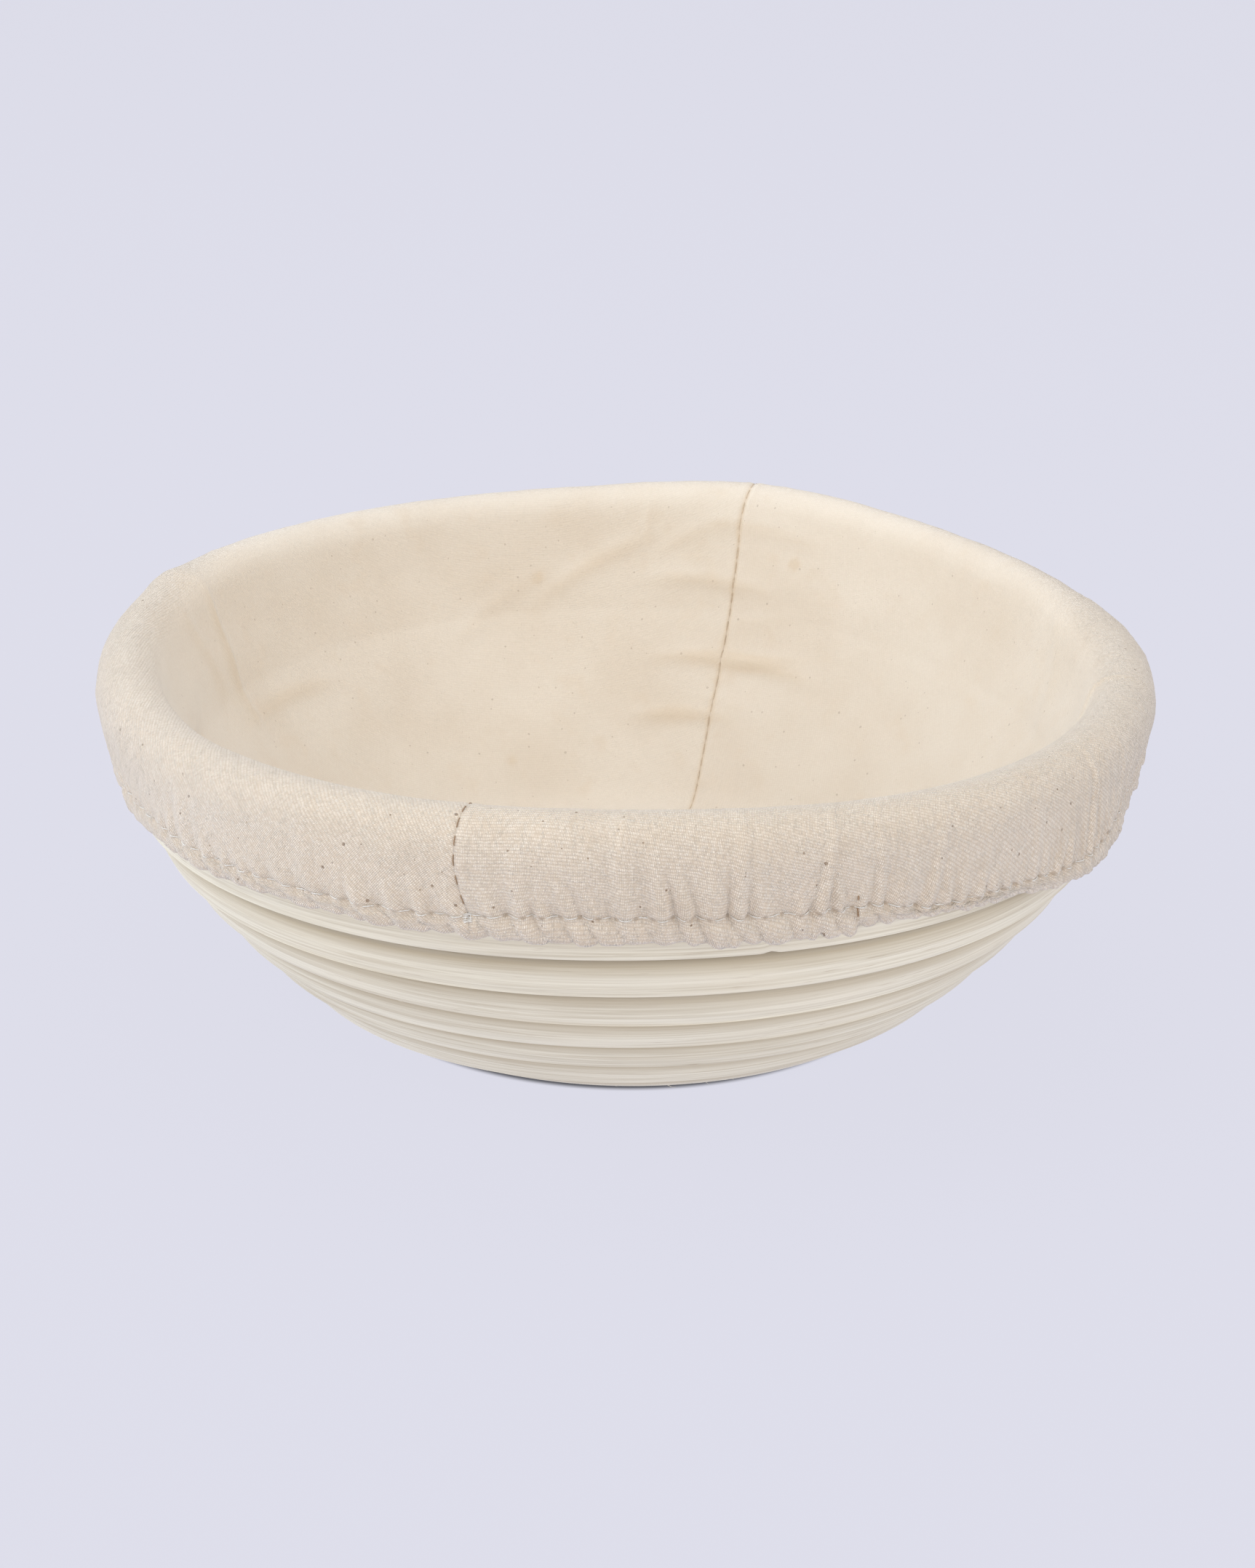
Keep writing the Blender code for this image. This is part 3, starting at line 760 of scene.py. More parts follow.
def add_sewing_stains_and_painted_shade(panel, angle, run, outside):
    """Where the cloth is pierced by the hem's stitches and pleated by the elastic, how strongly the
    stitches' painted shade shows, and where it is stained, darker along the seam, or given painted
    shade along its creases.
    """
    stitches = (angle - SEAM_ANGLE) / TURN * STITCH_COUNT
    beyond = (run - MARK["stitch"]) / MM
    degrees = np.degrees(angle) % 360
    # How strongly the painted shade of the hem's stitches shows: less at the left.
    stitch_shade_share = 1 - 0.75 * smooth(degrees, 100, 150) * (1 - smooth(degrees, 225, 262))
    add_attribute(panel, "sewn", "FLOAT_VECTOR", np.stack([stitches, beyond, stitch_shade_share], axis=1))

    tight = bell((angle % TURN) - TIGHT_ANGLE, math.radians(14))
    reach = 3.0 + 11 * tight
    pleated = np.exp(-((np.minimum(beyond, 0) / reach) ** 2)) * (0.50 + 0.50 * tight) * outside
    pleated = pleated * (1 - 0.5 * smooth(beyond, 0.3, 1.5))
    # Where the skirt is pleated: for the folds' bump and for the painted shade between them.
    add_attribute(panel, "pleated", "FLOAT", pleated)

    aside = np.abs(seam_distance(angle, np.interp(run, SECTION_RUN, SECTION_LINE[:, 0])))
    seam = 1.1 * bell(aside, 0.65 * MM) * (1 - outside)
    # Tan along the creases is painted shade; the marks are stains, and painted shade on the left
    # wall; the seam is darker too.
    stains_seam_and_painted_shade = 0.75 * creases(angle, run) / MM + marks(angle, run) + seam
    add_attribute(panel, "stains_seam_and_painted_shade", "FLOAT", stains_seam_and_painted_shade)


# ---------------------------------------------------------------- elastic and sewing


def hem_elastic(material):
    """A flat band, slightly rippled by the gathers, in the hem's channel."""
    angle = np.linspace(0, TURN, 721)[:-1]
    middle = HEM_RADIUS + 0.12 * MM + 0.06 * MM * waves(61, (np.cos(angle), np.sin(angle)), 0.09)
    low = 57.4 * MM
    high = 60.5 * MM
    half = 0.16 * MM
    heights = (low, (low + high) / 2, high)
    outline = []
    for out, height in [*((half, h) for h in heights), *((-half, h) for h in heights[::-1])]:
        turned_in, raised = hem_shift(angle, np.full_like(angle, height))
        outline.append(handmade(middle + out + turned_in, height + raised, angle))
    points = np.stack(outline, axis=1)
    rings, sides = points.shape[:2]
    index = np.arange(rings * sides).reshape(rings, sides)
    after = np.roll(index, -1, axis=0)
    faces = [
        (index[i, k], index[i, (k + 1) % sides], after[i, (k + 1) % sides], after[i, k])
        for i in range(rings)
        for k in range(sides)
    ]
    return add_mesh("hem_elastic_fine", points, faces, material, 40)


def add_threads(name, threads, radii, material):
    """Threads on the cloth's face, each as (angles, runs, how high off the cloth's middle)."""
    frames = [liner_frame(*thread) for thread in threads]
    lines = [points for points, facing in frames]
    ups = [facing for points, facing in frames]
    return add_tubes(name, lines, ups, radii, 6, material)


def dashes(name, centres, half_length, thickness, material, lengthwise, lift, seed):
    """Stitches that come out of the cloth, run along it and go back in.

    centres is a list of (angle, run), and lengthwise says whether they run along the section.
    """
    rng = np.random.default_rng(seed)
    share = np.linspace(-1, 1, 9)
    depth = lift + CLOTH / 2 + thickness * (0.75 - 3.6 * np.abs(share) ** 6)
    threads = []
    for angle, run in centres:
        reach = half_length * rng.uniform(0.82, 1.15)
        tilt = rng.normal(0, 0.05)
        along = share * reach
        aside = share * reach * tilt
        if lengthwise:
            threads.append((angle + aside / STITCH_RADIUS, run + along, depth))
        else:
            threads.append((angle + along / STITCH_RADIUS, run + aside, depth))
    return add_threads(name, threads, thickness * (1 - 0.35 * share**8), material)


def hem_stitches(material):
    rng = np.random.default_rng(72)
    spots = []
    for i in range(STITCH_COUNT):
        angle = SEAM_ANGLE + (i + 0.5 + rng.uniform(-0.05, 0.05)) * TURN / STITCH_COUNT
        spots.append((angle, MARK["stitch"] + rng.normal(0, 0.10) * MM))
    return dashes("hem_stitches", spots, 1.25 * MM, 0.13 * MM, material, False, 0.04 * MM, 73)


def seam_stitches(name, back, front, half_length, thickness, material, seed):
    """Stitches of the seam. back and front each say where they start and end along the cloth."""
    spots = []
    for angle, start, end in ((SEAM_ANGLE, *back), (SEAM_ANGLE + math.pi, *front)):
        for run in np.arange(start, end, SEAM_STITCH_PITCH):
            spots.append((angle, run))
    return dashes(name, spots, half_length, thickness, material, True, 0.05 * MM, seed)


def bar_tack(name, angle, width, height, count, thickness, material, seed):
    """A dense block of short stitches one below the other, over two that cross them."""
    rng = np.random.default_rng(seed)
    middle = MARK["stitch"] + 0.5 * MM
    share = np.linspace(-1, 1, 7)
    over = CLOTH / 2 + 0.12 * MM + thickness * (1.0 - 3.2 * share**4)
    under = CLOTH / 2 + thickness * (0.8 - 2.5 * share**4)
    threads = []
    for i in range(count):
        run = middle + height * (i / (count - 1) - 0.5) + rng.normal(0, 0.05) * MM
        reach = width / 2 * rng.uniform(0.85, 1.1)
        slope = rng.normal(0, 0.10)
        across = angle + share * reach / STITCH_RADIUS
        threads.append((across, run + share * reach * slope, over))
    for side in (-0.3, 0.3):
        at = angle + side * width / STITCH_RADIUS
        threads.append((at, middle + share * height / 2, under))
    return add_threads(name, threads, thickness * (1 - 0.3 * share**6), material)


# ---------------------------------------------------------------- materials

RIB_PITCH = 0.6 * MM
STITCH_PITCH_MM = 3.7
# Seed specks: how many a metre, the share of cells without one, their size in cells, darkness.
SPECKS = ((215.0, 0.62, 0.062, 0.85), (120.0, 0.45, 0.022, 0.70))


class Tree:
    """A material's nodes, made one by one from values or from other nodes' sockets."""

    def __init__(self, name):
        self.material = bpy.data.materials.new(name)
        self.material.use_nodes = True
        self.nodes = self.material.node_tree.nodes
        self.links = self.material.node_tree.links
        self.shader = self.nodes["Principled BSDF"]

    def add(self, kind, inputs=(), output=0, **settings):
        node = self.nodes.new("ShaderNode" + kind)
        for key, value in settings.items():
            setattr(node, key, value)
        for key, value in dict(inputs).items():
            self.put(node.inputs[key], value)
        return node.outputs[output]

    def put(self, socket, value):
        if isinstance(value, bpy.types.NodeSocket):
            self.links.new(value, socket)
        else:
            socket.default_value = value

    def math(self, operation, a, b=0.0, c=0.0):
        return self.add("Math", {0: a, 1: b, 2: c}, operation=operation)

    def scaled(self, vector, factors):
        return self.add("VectorMath", {0: vector, 1: factors}, operation="MULTIPLY")

    def noise(self, vector, scale, detail=2.0, roughness=0.5):
        inputs = {"Vector": vector, "Scale": scale, "Detail": detail, "Roughness": roughness}
        return self.add("TexNoise", inputs)

    def ramp(self, value, low, high, to_low=0.0, to_high=1.0):
        inputs = {0: value, 1: low, 2: high, 3: to_low, 4: to_high}
        return self.add("MapRange", inputs, interpolation_type="SMOOTHSTEP")

    def mix(self, share, a, b, kind="RGBA"):
        """a where share is 0 and b where it is 1: colours, vectors or plain numbers."""
        node = self.nodes.new("ShaderNodeMix")
        node.data_type = kind
        first, second, output = {"FLOAT": (2, 3, 0), "VECTOR": (4, 5, 1), "RGBA": (6, 7, 2)}[kind]
        self.put(node.inputs[0], share)
        self.put(node.inputs[first], a)
        self.put(node.inputs[second], b)
        return node.outputs[output]

    def times(self, a, b):
        return self.math("MULTIPLY", a, b)

    def attribute(self, name, output="Fac"):
        return self.add("Attribute", attribute_name=name, output=output)

    def parts(self, vector):
        node = self.nodes.new("ShaderNodeSeparateXYZ")
        self.put(node.inputs[0], vector)
        return node.outputs

    def bump(self, height, distance, strength=1.0):
        return self.add("Bump", {"Height": height, "Distance": distance, "Strength": strength})

    def finish(self, colour, roughness, normal=None, **plain):
        self.put(self.shader.inputs["Base Color"], colour)
        self.put(self.shader.inputs["Roughness"], roughness)
        if normal:
            self.put(self.shader.inputs["Normal"], normal)
        for key, value in plain.items():
            self.shader.inputs[key.replace("_", " ")].default_value = value
        return self.material


def rgb(red, green, blue):
    return (red, green, blue, 1.0)


def plain_weave(tree, where):
    """Height of a plain weave of uneven yarns, 0 in the holes and about 1 on the knuckles."""
    wobble = tree.noise(where, 420.0, 1.0)
    bow = tree.noise(where, 70.0, 1.0)
    wobble = tree.math("MULTIPLY_ADD", wobble, 1.5, tree.times(bow, 5.0))
    parts = tree.parts(where)
    warp = tree.math("MULTIPLY_ADD", parts[0], math.pi / WARP_PITCH, wobble)
    weft = tree.math("MULTIPLY_ADD", parts[1], math.pi / WEFT_PITCH, wobble)
    warp_wave = tree.math("SINE", warp)
    weft_wave = tree.math("SINE", weft)
    over = tree.ramp(tree.times(warp_wave, weft_wave), -0.18, 0.18)
    warp_bulge = tree.math("ABSOLUTE", warp_wave)
    weft_bulge = tree.math("ABSOLUTE", weft_wave)
    column = tree.math("FLOOR", tree.times(warp, 1 / math.pi))
    row = tree.math("FLOOR", tree.times(weft, 1 / math.pi))
    cell = tree.add("CombineXYZ", {0: column, 1: row})
    knuckle = tree.add("TexWhiteNoise", {"Vector": cell}, noise_dimensions="3D")
    warp_slub = tree.noise(tree.scaled(where, (1500.0, 60.0, 1.0)), 1.0, 1.0)
    weft_slub = tree.noise(tree.scaled(where, (60.0, 1300.0, 1.0)), 1.0, 1.0)
    warp_top = tree.times(warp_bulge, tree.math("MULTIPLY_ADD", weft_bulge, 0.6, 0.4))
    weft_top = tree.times(weft_bulge, tree.math("MULTIPLY_ADD", warp_bulge, 0.6, 0.4))
    warp_top = tree.times(warp_top, tree.math("MULTIPLY_ADD", warp_slub, 1.4, 0.2))
    weft_top = tree.times(weft_top, tree.math("MULTIPLY_ADD", weft_slub, 1.4, 0.2))
    height = tree.mix(over, weft_top, warp_top, "FLOAT")
    return tree.times(height, tree.math("MULTIPLY_ADD", knuckle, 0.9, 0.5))


def cotton_ground(tree, place, outside, weave):
    """The cotton's colour, mottled, and darker in the holes between the yarns; the same cloth is
    darker in the bowl and lighter on the skirt, as painted shade and painted light.
    """
    mottle = tree.ramp(tree.noise(place, 38.0, 3.0, 0.55), 0.35, 0.68)
    # Painted shade in the bowl and painted light on the skirt: the same cloth in two shades.
    bowl = tree.mix(mottle, rgb(0.815, 0.738, 0.637), rgb(0.780, 0.693, 0.585))
    skirt = tree.mix(mottle, rgb(0.960, 0.866, 0.750), rgb(0.930, 0.828, 0.704))
    dimple = tree.ramp(tree.noise(place, 330.0, 2.0, 0.6), 0.46, 0.66, 0.0, 0.24)
    skirt = tree.mix(dimple, skirt, rgb(0.780, 0.675, 0.555))
    colour = tree.mix(outside, bowl, skirt)
    patch = tree.ramp(tree.noise(place, 130.0, 2.0, 0.5), 0.55, 0.8, 0.0, 0.4)
    colour = tree.mix(patch, colour, rgb(0.760, 0.645, 0.515))
    gap = tree.math("POWER", tree.math("SUBTRACT", 1.0, weave), 1.8)
    gap = tree.times(gap, tree.ramp(outside, 0.0, 1.0, 0.22, 0.90))
    return tree.mix(gap, colour, rgb(0.55, 0.44, 0.335))


def sewn_cotton(tree, colour, pleats):
    """Painted shade in the needle holes, along the line that the hem's stitches press, and between
    pleats.
    """
    stitches, beyond, stitch_shade_share = tree.parts(tree.attribute("sewn", "Vector"))
    beside = tree.times(tree.math("PINGPONG", stitches, 0.5), STITCH_PITCH_MM)
    squares = tree.math("ADD", tree.times(beside, beside), tree.times(beyond, beyond))
    hole = tree.ramp(tree.math("SQRT", squares), 0.25, 0.80, 0.65, 0.0)
    line = tree.ramp(tree.math("ABSOLUTE", beyond), 0.15, 0.70, 0.16, 0.0)
    painted_stitch_shade = tree.times(tree.math("MAXIMUM", hole, line), stitch_shade_share)
    shade = tree.times(tree.ramp(pleats, 0.30, 0.52, 0.30, 0.0), tree.attribute("pleated"))
    return tree.mix(tree.math("MAXIMUM", painted_stitch_shade, shade), colour, rgb(0.42, 0.31, 0.21))


def speckled_cotton(tree, colour, place, outside, cloth_places):
    """Dark seed specks, scattered over the flat cloth and fainter in the bowl."""
    flat = tree.mix(outside, *cloth_places, "VECTOR")
    frayed = tree.math("MULTIPLY_ADD", tree.noise(place, 900.0, 1.0), 1.8, 0.1)
    for scale, least, size, shade in SPECKS:
        cells = tree.nodes.new("ShaderNodeTexVoronoi")
        cells.voronoi_dimensions = "2D"
        tree.put(cells.inputs["Scale"], scale)
        tree.put(cells.inputs["Vector"], flat)
        chance = tree.nodes.new("ShaderNodeSeparateColor")
        tree.put(chance.inputs[0], cells.outputs["Color"])
        wide = tree.times(tree.ramp(chance.outputs[0], least, 1.0), size)
        near = tree.math("SUBTRACT", tree.times(wide, frayed), cells.outputs["Distance"])
        speck = tree.ramp(near, -0.004, 0.010, 0.0, shade)
        speck = tree.times(speck, tree.ramp(outside, 0.0, 1.0, 0.34, 1.0))
        colour = tree.mix(speck, colour, rgb(0.20, 0.12, 0.065))
    return colour


def cloth_material():
    """Unbleached cotton: a plain weave with slubs, dark specks, faint stains and lint, painted shade
    along the creases, at the hem's stitches and between the pleats, and painted shade in the bowl
    against painted light on the skirt.
    """
    tree = Tree("unbleached_cotton")
    place = tree.add("TexCoord", output="Object")
    outside = tree.attribute("outside")
    cloth_places = [tree.attribute(name, "Vector") for name in ("weave_bowl", "weave_skirt")]
    weave = tree.mix(outside, *(plain_weave(tree, where) for where in cloth_places), "FLOAT")
    across_pleats = tree.scaled(tree.attribute("sewn", "Vector"), (2.3, 0.09, 0.0))
    pleats = tree.noise(across_pleats, 1.0, 1.5)

    colour = cotton_ground(tree, place, outside, weave)
    colour = sewn_cotton(tree, colour, pleats)
    # Tan where the cloth is stained and along the seam, and painted shade along the creases and on
    # the left wall.
    stains_seam_and_painted_shade = tree.ramp(tree.attribute("stains_seam_and_painted_shade"), 0.05, 1.0, 0.0, 0.58)
    colour = tree.mix(stains_seam_and_painted_shade, colour, rgb(0.715, 0.59, 0.445))
    colour = speckled_cotton(tree, colour, place, outside, cloth_places)
    lint = tree.ramp(tree.noise(place, 1500.0, 2.0, 0.7), 0.36, 0.64, 0.49, 0.0)
    lint = tree.times(lint, tree.ramp(outside, 0.0, 1.0, 0.16, 1.0))
    colour = tree.mix(lint, colour, rgb(0.58, 0.475, 0.365))

    fuzz = tree.noise(place, 2600.0, 2.0, 0.6)
    height = tree.math("MULTIPLY_ADD", fuzz, 0.18, weave)
    height = tree.times(height, tree.ramp(outside, 0.0, 1.0, 0.22, 0.75))
    folds = tree.times(tree.times(pleats, tree.attribute("pleated")), 5.0)
    normal = tree.bump(tree.math("ADD", height, folds), 0.22 * MM)
    return tree.finish(
        colour, 0.92, normal, Sheen_Weight=0.60, Sheen_Roughness=0.42, Specular_IOR_Level=0.2
    )


def cane_material():
    """Peeled rattan: pale, streaked along its length, and browner over the rounded shoulder, partly
    its skin's own tan and partly painted shade under the turn above, with painted shade between the
    turns.
    """
    tree = Tree("peeled_rattan")
    grain = tree.attribute("grain", "Vector")
    tone = tree.parts(grain)[2]
    fine = tree.noise(tree.scaled(grain, (30.0, 1900.0, 7.0)), 1.0, 3.0, 0.6)
    broad = tree.noise(tree.scaled(grain, (16.0, 620.0, 3.0)), 1.0, 2.0, 0.55)
    flecks = tree.noise(tree.scaled(grain, (120.0, 2100.0, 9.0)), 1.0, 2.0, 0.5)
    patches = tree.noise(tree.scaled(grain, (22.0, 40.0, 5.0)), 1.0, 2.0, 0.5)
    strand = tree.ramp(fine, 0.32, 0.66)
    colour = tree.mix(strand, rgb(0.635, 0.570, 0.443), rgb(0.865, 0.81, 0.668))
    colour = tree.mix(tree.ramp(broad, 0.35, 0.72, 0.0, 0.55), colour, rgb(0.875, 0.825, 0.70))
    colour = tree.mix(tree.ramp(broad, 0.28, 0.50, 0.45, 0.0), colour, rgb(0.66, 0.58, 0.45))
    colour = tree.mix(tree.ramp(patches, 0.45, 0.75, 0.0, 0.30), colour, rgb(0.82, 0.735, 0.58))
    colour = tree.mix(tree.ramp(flecks, 0.66, 0.80, 0.0, 0.55), colour, rgb(0.45, 0.35, 0.24))
    colour = tree.mix(tree.ramp(tone, 0.0, 1.0, 0.0, 0.20), colour, rgb(0.82, 0.745, 0.60))
    # Browner over the shoulder: partly the skin's own tan, partly painted shade under the turn
    # above.
    skin_tan_and_painted_shade = tree.times(tree.attribute("shoulder"), tree.ramp(broad, 0.2, 0.8, 0.50, 1.0))
    colour = tree.mix(skin_tan_and_painted_shade, colour, rgb(0.53, 0.445, 0.31))
    # Painted shade where the turns lie against each other and under each turn's overhang.
    painted_shade_between_turns = tree.attribute("painted_shade_between_turns")
    colour = tree.mix(painted_shade_between_turns, colour, rgb(0.20, 0.155, 0.105))
    height = tree.math("MULTIPLY_ADD", broad, 0.8, fine)
    normal = tree.bump(height, 0.09 * MM, 0.8)
    roughness = tree.ramp(fine, 0.3, 0.7, 0.72, 0.60)
    return tree.finish(colour, roughness, normal, Specular_IOR_Level=0.35)


def thread_material(name, colour, dark):
    """Spun thread: fine slanting strands."""
    tree = Tree(name)
    place = tree.add("TexCoord", output="Object")
    strands = tree.noise(tree.scaled(place, (1.0, 1.0, 0.6)), 2600.0, 2.0, 0.6)
    blotch = tree.noise(place, 300.0, 1.0)
    mixed = tree.mix(tree.ramp(strands, 0.3, 0.7), rgb(*dark), rgb(*colour))
    mixed = tree.mix(tree.ramp(blotch, 0.4, 0.8, 0.0, 0.3), mixed, rgb(*dark))
    normal = tree.bump(strands, 0.05 * MM, 0.8)
    return tree.finish(mixed, 0.75, normal, Sheen_Weight=0.1)


def elastic_material():
    """Knitted elastic: fine ribs across a white band."""
    tree = Tree("knitted_elastic")
    place = tree.add("TexCoord", output="Object")
    rib = tree.math("SINE", tree.times(tree.parts(place)[2], TURN / RIB_PITCH))
    fuzz = tree.noise(place, 1800.0, 2.0)
    height = tree.math("MULTIPLY_ADD", rib, 0.5, fuzz)
    colour = tree.mix(tree.ramp(height, -0.2, 1.0), rgb(0.60, 0.59, 0.55), rgb(0.82, 0.81, 0.78))
    return tree.finish(colour, 0.8, tree.bump(height, 0.08 * MM))


def steel_material():
    """Drawn wire, dulled and with a little rust."""
    tree = Tree("dull_steel")
    place = tree.add("TexCoord", output="Object")
    rust = tree.noise(place, 700.0, 4.0, 0.65)
    colour = tree.mix(tree.ramp(rust, 0.52, 0.72), rgb(0.50, 0.50, 0.50), rgb(0.26, 0.13, 0.07))
    roughness = tree.ramp(rust, 0.45, 0.75, 0.35, 0.85)
    return tree.finish(colour, roughness, tree.bump(rust, 0.05 * MM), Metallic=0.8)


# ---------------------------------------------------------------- brads


def brad_ends(node):
    """The middles of a CAD brad's two ends, the upper one first."""
    corners = np.array([v.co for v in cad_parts[node].data.vertices])
    middle = corners.mean(axis=0)
    axis = np.linalg.svd(corners - middle)[2][0]
    far = (corners - middle) @ axis
    ends = [corners[far > 0].mean(axis=0), corners[far < 0].mean(axis=0)]
    return sorted(ends, key=lambda end: -end[2])


def build_brads(material):
    """Headless wire pins: a blunt upper end, burred by the hammer, and a cut point below."""
    share = np.array([0.0, 0.0, 0.04, 0.10, 0.85, 0.96, 1.0])
    radii = np.array([0.30, 0.62, 0.68, 0.60, 0.60, 0.38, 0.10]) * MM
    for node in sorted(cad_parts):
        if not node.startswith("wire_brad"):
            continue
        top, foot = brad_ends(node)
        line = top + share[:, None] * (foot - top)
        line[1] += 0.02 * MM * unit(foot - top)
        radius = np.hypot(line[:, 0], line[:, 1])
        moved = handmade(radius, line[:, 2], np.arctan2(line[:, 1], line[:, 0]))
        up = np.array([0.3, 0.5, 0.2]) * np.ones_like(moved)
        brad = add_tubes(node + "_fine", moved[None], up[None], radii, 12, material)
        stands_for(brad, node, "basket")


# ---------------------------------------------------------------- loose fibres


def build_fibres(material):
    """Fine splinters that have lifted from the lower edges of the turns and of the base."""
    rng = np.random.default_rng(91)
    lines = []
    ups = []
    radii = []
    share = np.linspace(0, 1, 12)
    starts = [*rng.uniform(135, 330, 46), 159.6, 160.1, 160.4, 158.9]
    for start in starts:
        low = start < 165
        length = rng.uniform(1.5, 4.0) * MM if low else rng.uniform(3.0, 9.0) * MM
        radius = float(wall_frame(boundary(np.array([start - 12.0])))[0][0])
        steps = start + share * length / radius / STEP_ANGLE
        curl = rng.uniform(0.2, 1.0) * MM * (1.5 if low else 1.0)
        droop = rng.uniform(-0.8, 0.4) * MM
        along = boundary(steps - TURN_STEPS / 2) + 0.45 * MM + droop * share**2
        out = CANE_OUT + 0.35 * MM + curl * share**2
        ring, height = wall_point(along, out)
        angle = SPIRAL_PHASE + steps * STEP_ANGLE
        lines.append(handmade(ring, np.maximum(height, 0.1 * MM), angle))
        ups.append(np.array([0.1, 0.2, 1.0]) * np.ones((len(share), 3)))
        radii.append(rng.uniform(0.04, 0.09) * MM * (1 - 0.8 * share))
    fibres = add_tubes("loose_fibres", lines, ups, np.array(radii), 5, material)
    count = len(fibres.data.vertices)
    add_attribute(fibres, "grain", "FLOAT_VECTOR", np.tile([0.1, 0.004, 0.5], (count, 1)))
    add_attribute(fibres, "shoulder", "FLOAT", np.zeros(count))
    add_attribute(fibres, "painted_shade_between_turns", "FLOAT", np.zeros(count))
    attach(fibres, "basket")


# ---------------------------------------------------------------- studio


def build_studio():
    scene = bpy.context.scene
    scene.view_settings.view_transform = "Standard"

    # The floor glows evenly, apart from a painted contact shadow: a thin dark ring under the
    # basket's edge.
    tree = Tree("pale_floor")
    place = tree.add("TexCoord", output="Object")
    far = tree.add("VectorMath", {0: place}, "Value", operation="LENGTH")
    glow_outside_painted_shadow = tree.ramp(far, 0.0647, 0.0670, 0.15, 1.0)
    tree.put(tree.shader.inputs["Emission Strength"], tree.times(glow_outside_painted_shadow, 0.965))
    tree.put(tree.shader.inputs["Emission Color"], rgb(0.723, 0.723, 0.815))
    material = tree.finish(rgb(0.03, 0.03, 0.035), 0.9, Specular_IOR_Level=0.0)
    size = 12.0
    corners = [(-size, -size, 0), (size, -size, 0), (size, size, 0), (-size, size, 0)]
    floor = add_mesh("floor", corners, [(0, 1, 2, 3)], material)
    floor.location.z = -0.2 * MM

    world = bpy.data.worlds.new("studio")
    scene.world = world
    world.use_nodes = True
    world.node_tree.nodes["Background"].inputs[0].default_value = rgb(0.97, 0.98, 1.0)
    world.node_tree.nodes["Background"].inputs[1].default_value = 0.62

    lights = (
        ("key", (-0.80, -0.45, 1.00), 0.7, 4.3, (0.98, 0.985, 0.98)),
        ("fill", (1.00, -0.72, 0.70), 1.0, 4.3, (1.0, 0.995, 0.985)),
        ("top", (0.1, 0.35, 1.35), 1.0, 3.9, (1.0, 0.99, 0.97)),
        ("left", (-1.25, 0.10, 0.34), 0.8, 6.2, (0.81, 0.91, 1.0)),
        ("low_front", (-0.15, -1.25, 0.22), 0.8, 3.8, (1.0, 0.98, 0.95)),
    )
    for name, spot, size, power, colour in lights:
        lamp = bpy.data.lights.new(name, "AREA")
        lamp.shape = "DISK"
        lamp.size = size
        lamp.energy = power
        lamp.color = colour
        obj = bpy.data.objects.new(name, lamp)
        scene.collection.objects.link(obj)
        obj.location = spot
        aim = Vector((0, 0, 40 * MM)) - Vector(spot)
        obj.rotation_euler = aim.to_track_quat("-Z", "Y").to_euler()


def build_camera():
    """A camera at the photograph's viewing angle."""
    elevation = math.radians(22.74)
    distance = 0.696
    target = Vector((0, 0, 37.1 * MM))
    back = Vector((0, -math.cos(elevation), math.sin(elevation)))
    camera = bpy.data.cameras.new("camera")
    camera.lens = 70.7
    camera.sensor_width = 36.0
    camera.shift_x = 0.0023
    camera.shift_y = 0.0136
    obj = bpy.data.objects.new("camera", camera)
    bpy.context.scene.collection.objects.link(obj)
    facing = (-back).to_track_quat("-Z", "Y").to_matrix()
    roll = Matrix.Rotation(math.radians(1.0), 3, "Z")
    obj.matrix_world = Matrix.Translation(target + back * distance) @ (facing @ roll).to_4x4()
    bpy.context.scene.camera = obj


# ---------------------------------------------------------------- the whole


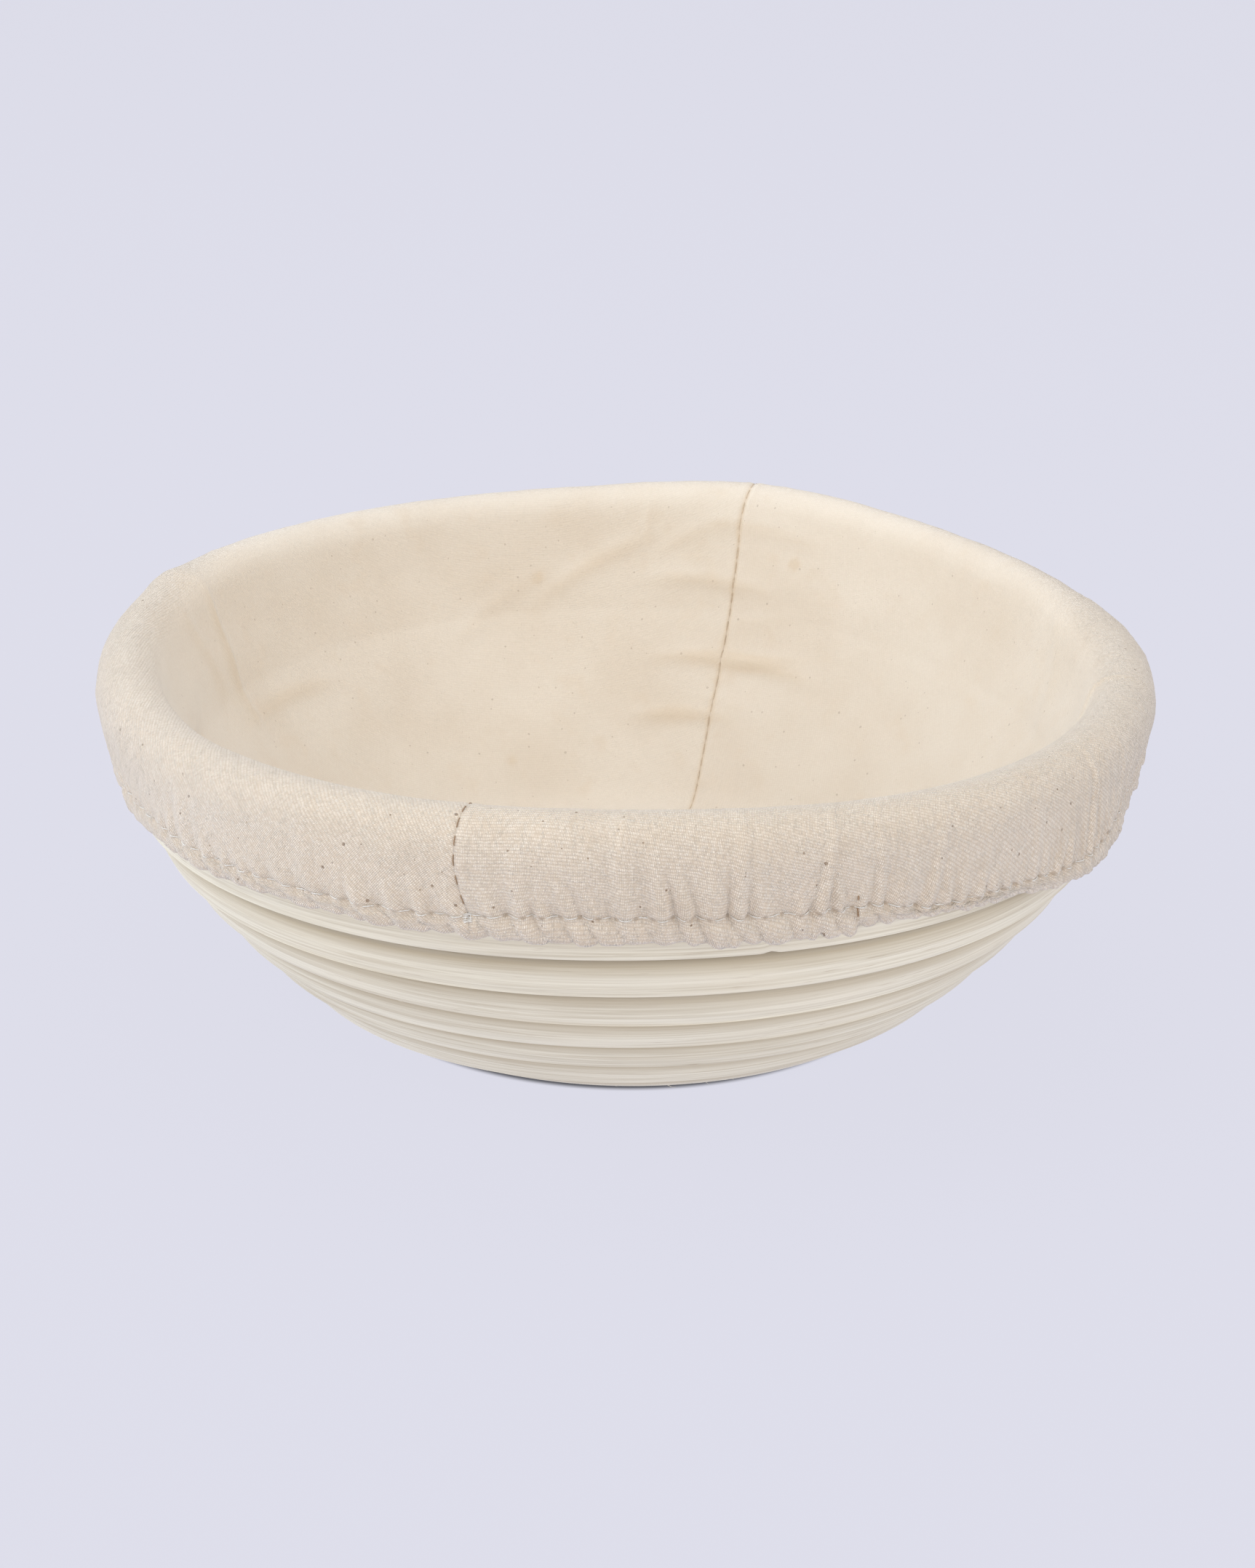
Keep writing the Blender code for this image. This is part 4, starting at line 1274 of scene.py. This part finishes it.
def build_liner():
    cotton = cloth_material()
    white = thread_material("white_thread", (0.85, 0.83, 0.79), (0.66, 0.62, 0.56))
    brown = thread_material("brown_thread", (0.42, 0.28, 0.17), (0.25, 0.15, 0.08))
    tan = thread_material("tan_thread", (0.76, 0.64, 0.49), (0.60, 0.47, 0.33))
    left = liner_panel("liner_left", SEAM_ANGLE, 62.0, cotton)
    right = liner_panel("liner_right", SEAM_ANGLE + math.pi, 3.0, cotton)
    stands_for(left, "liner_panel_left", "liner")
    stands_for(right, "liner_panel_right", "liner")
    elastic = hem_elastic(elastic_material())
    stands_for(elastic, "hem_elastic", "liner")
    stitches = hem_stitches(white)
    stands_for(stitches, "hem_stitch_thread", "liner")
    front_change = MARK["roll"] + 6 * MM
    back_change = front_change + 10 * MM
    last = MARK["stitch"] - 2.5 * MM
    inner = seam_stitches(
        "seam_stitches_bowl", (2 * MM, back_change), (2 * MM, front_change), 1.5 * MM, 0.075 * MM,
        tan, 74,
    )
    stands_for(inner, "seam_stitch_thread", "liner")
    # The skirt seam's dark brown dashes stand for the shade in the stitch gaps: painted shade.
    seam = seam_stitches(
        "seam_stitches_skirt", (back_change + SEAM_STITCH_PITCH, last),
        (front_change + SEAM_STITCH_PITCH, last), 1.1 * MM, 0.11 * MM, brown, 75,
    )
    stands_for(seam, "seam_stitch_thread", "liner")
    front = bar_tack("front_tack", SEAM_ANGLE + math.pi, 1.9 * MM, 2.1 * MM, 7, 0.11 * MM, white, 81)
    stands_for(front, "seam_bar_tack_front", "liner")
    back = bar_tack("back_tack", SEAM_ANGLE, 2.2 * MM, 2.3 * MM, 8, 0.12 * MM, white, 82)
    stands_for(back, "seam_bar_tack_back", "liner")
    knots = [(math.radians(292.8), MARK["stitch"] + down * MM) for down in (-2.1, 0.5, 1.4)]
    join = dashes("elastic_tack", knots, 0.45 * MM, 0.17 * MM, brown, True, 0.08 * MM, 83)
    stands_for(join, "elastic_bar_tack", "liner")


build_camera()
build_studio()
rattan = cane_material()
build_cane(rattan)
build_fibres(rattan)
build_brads(steel_material())
build_liner()
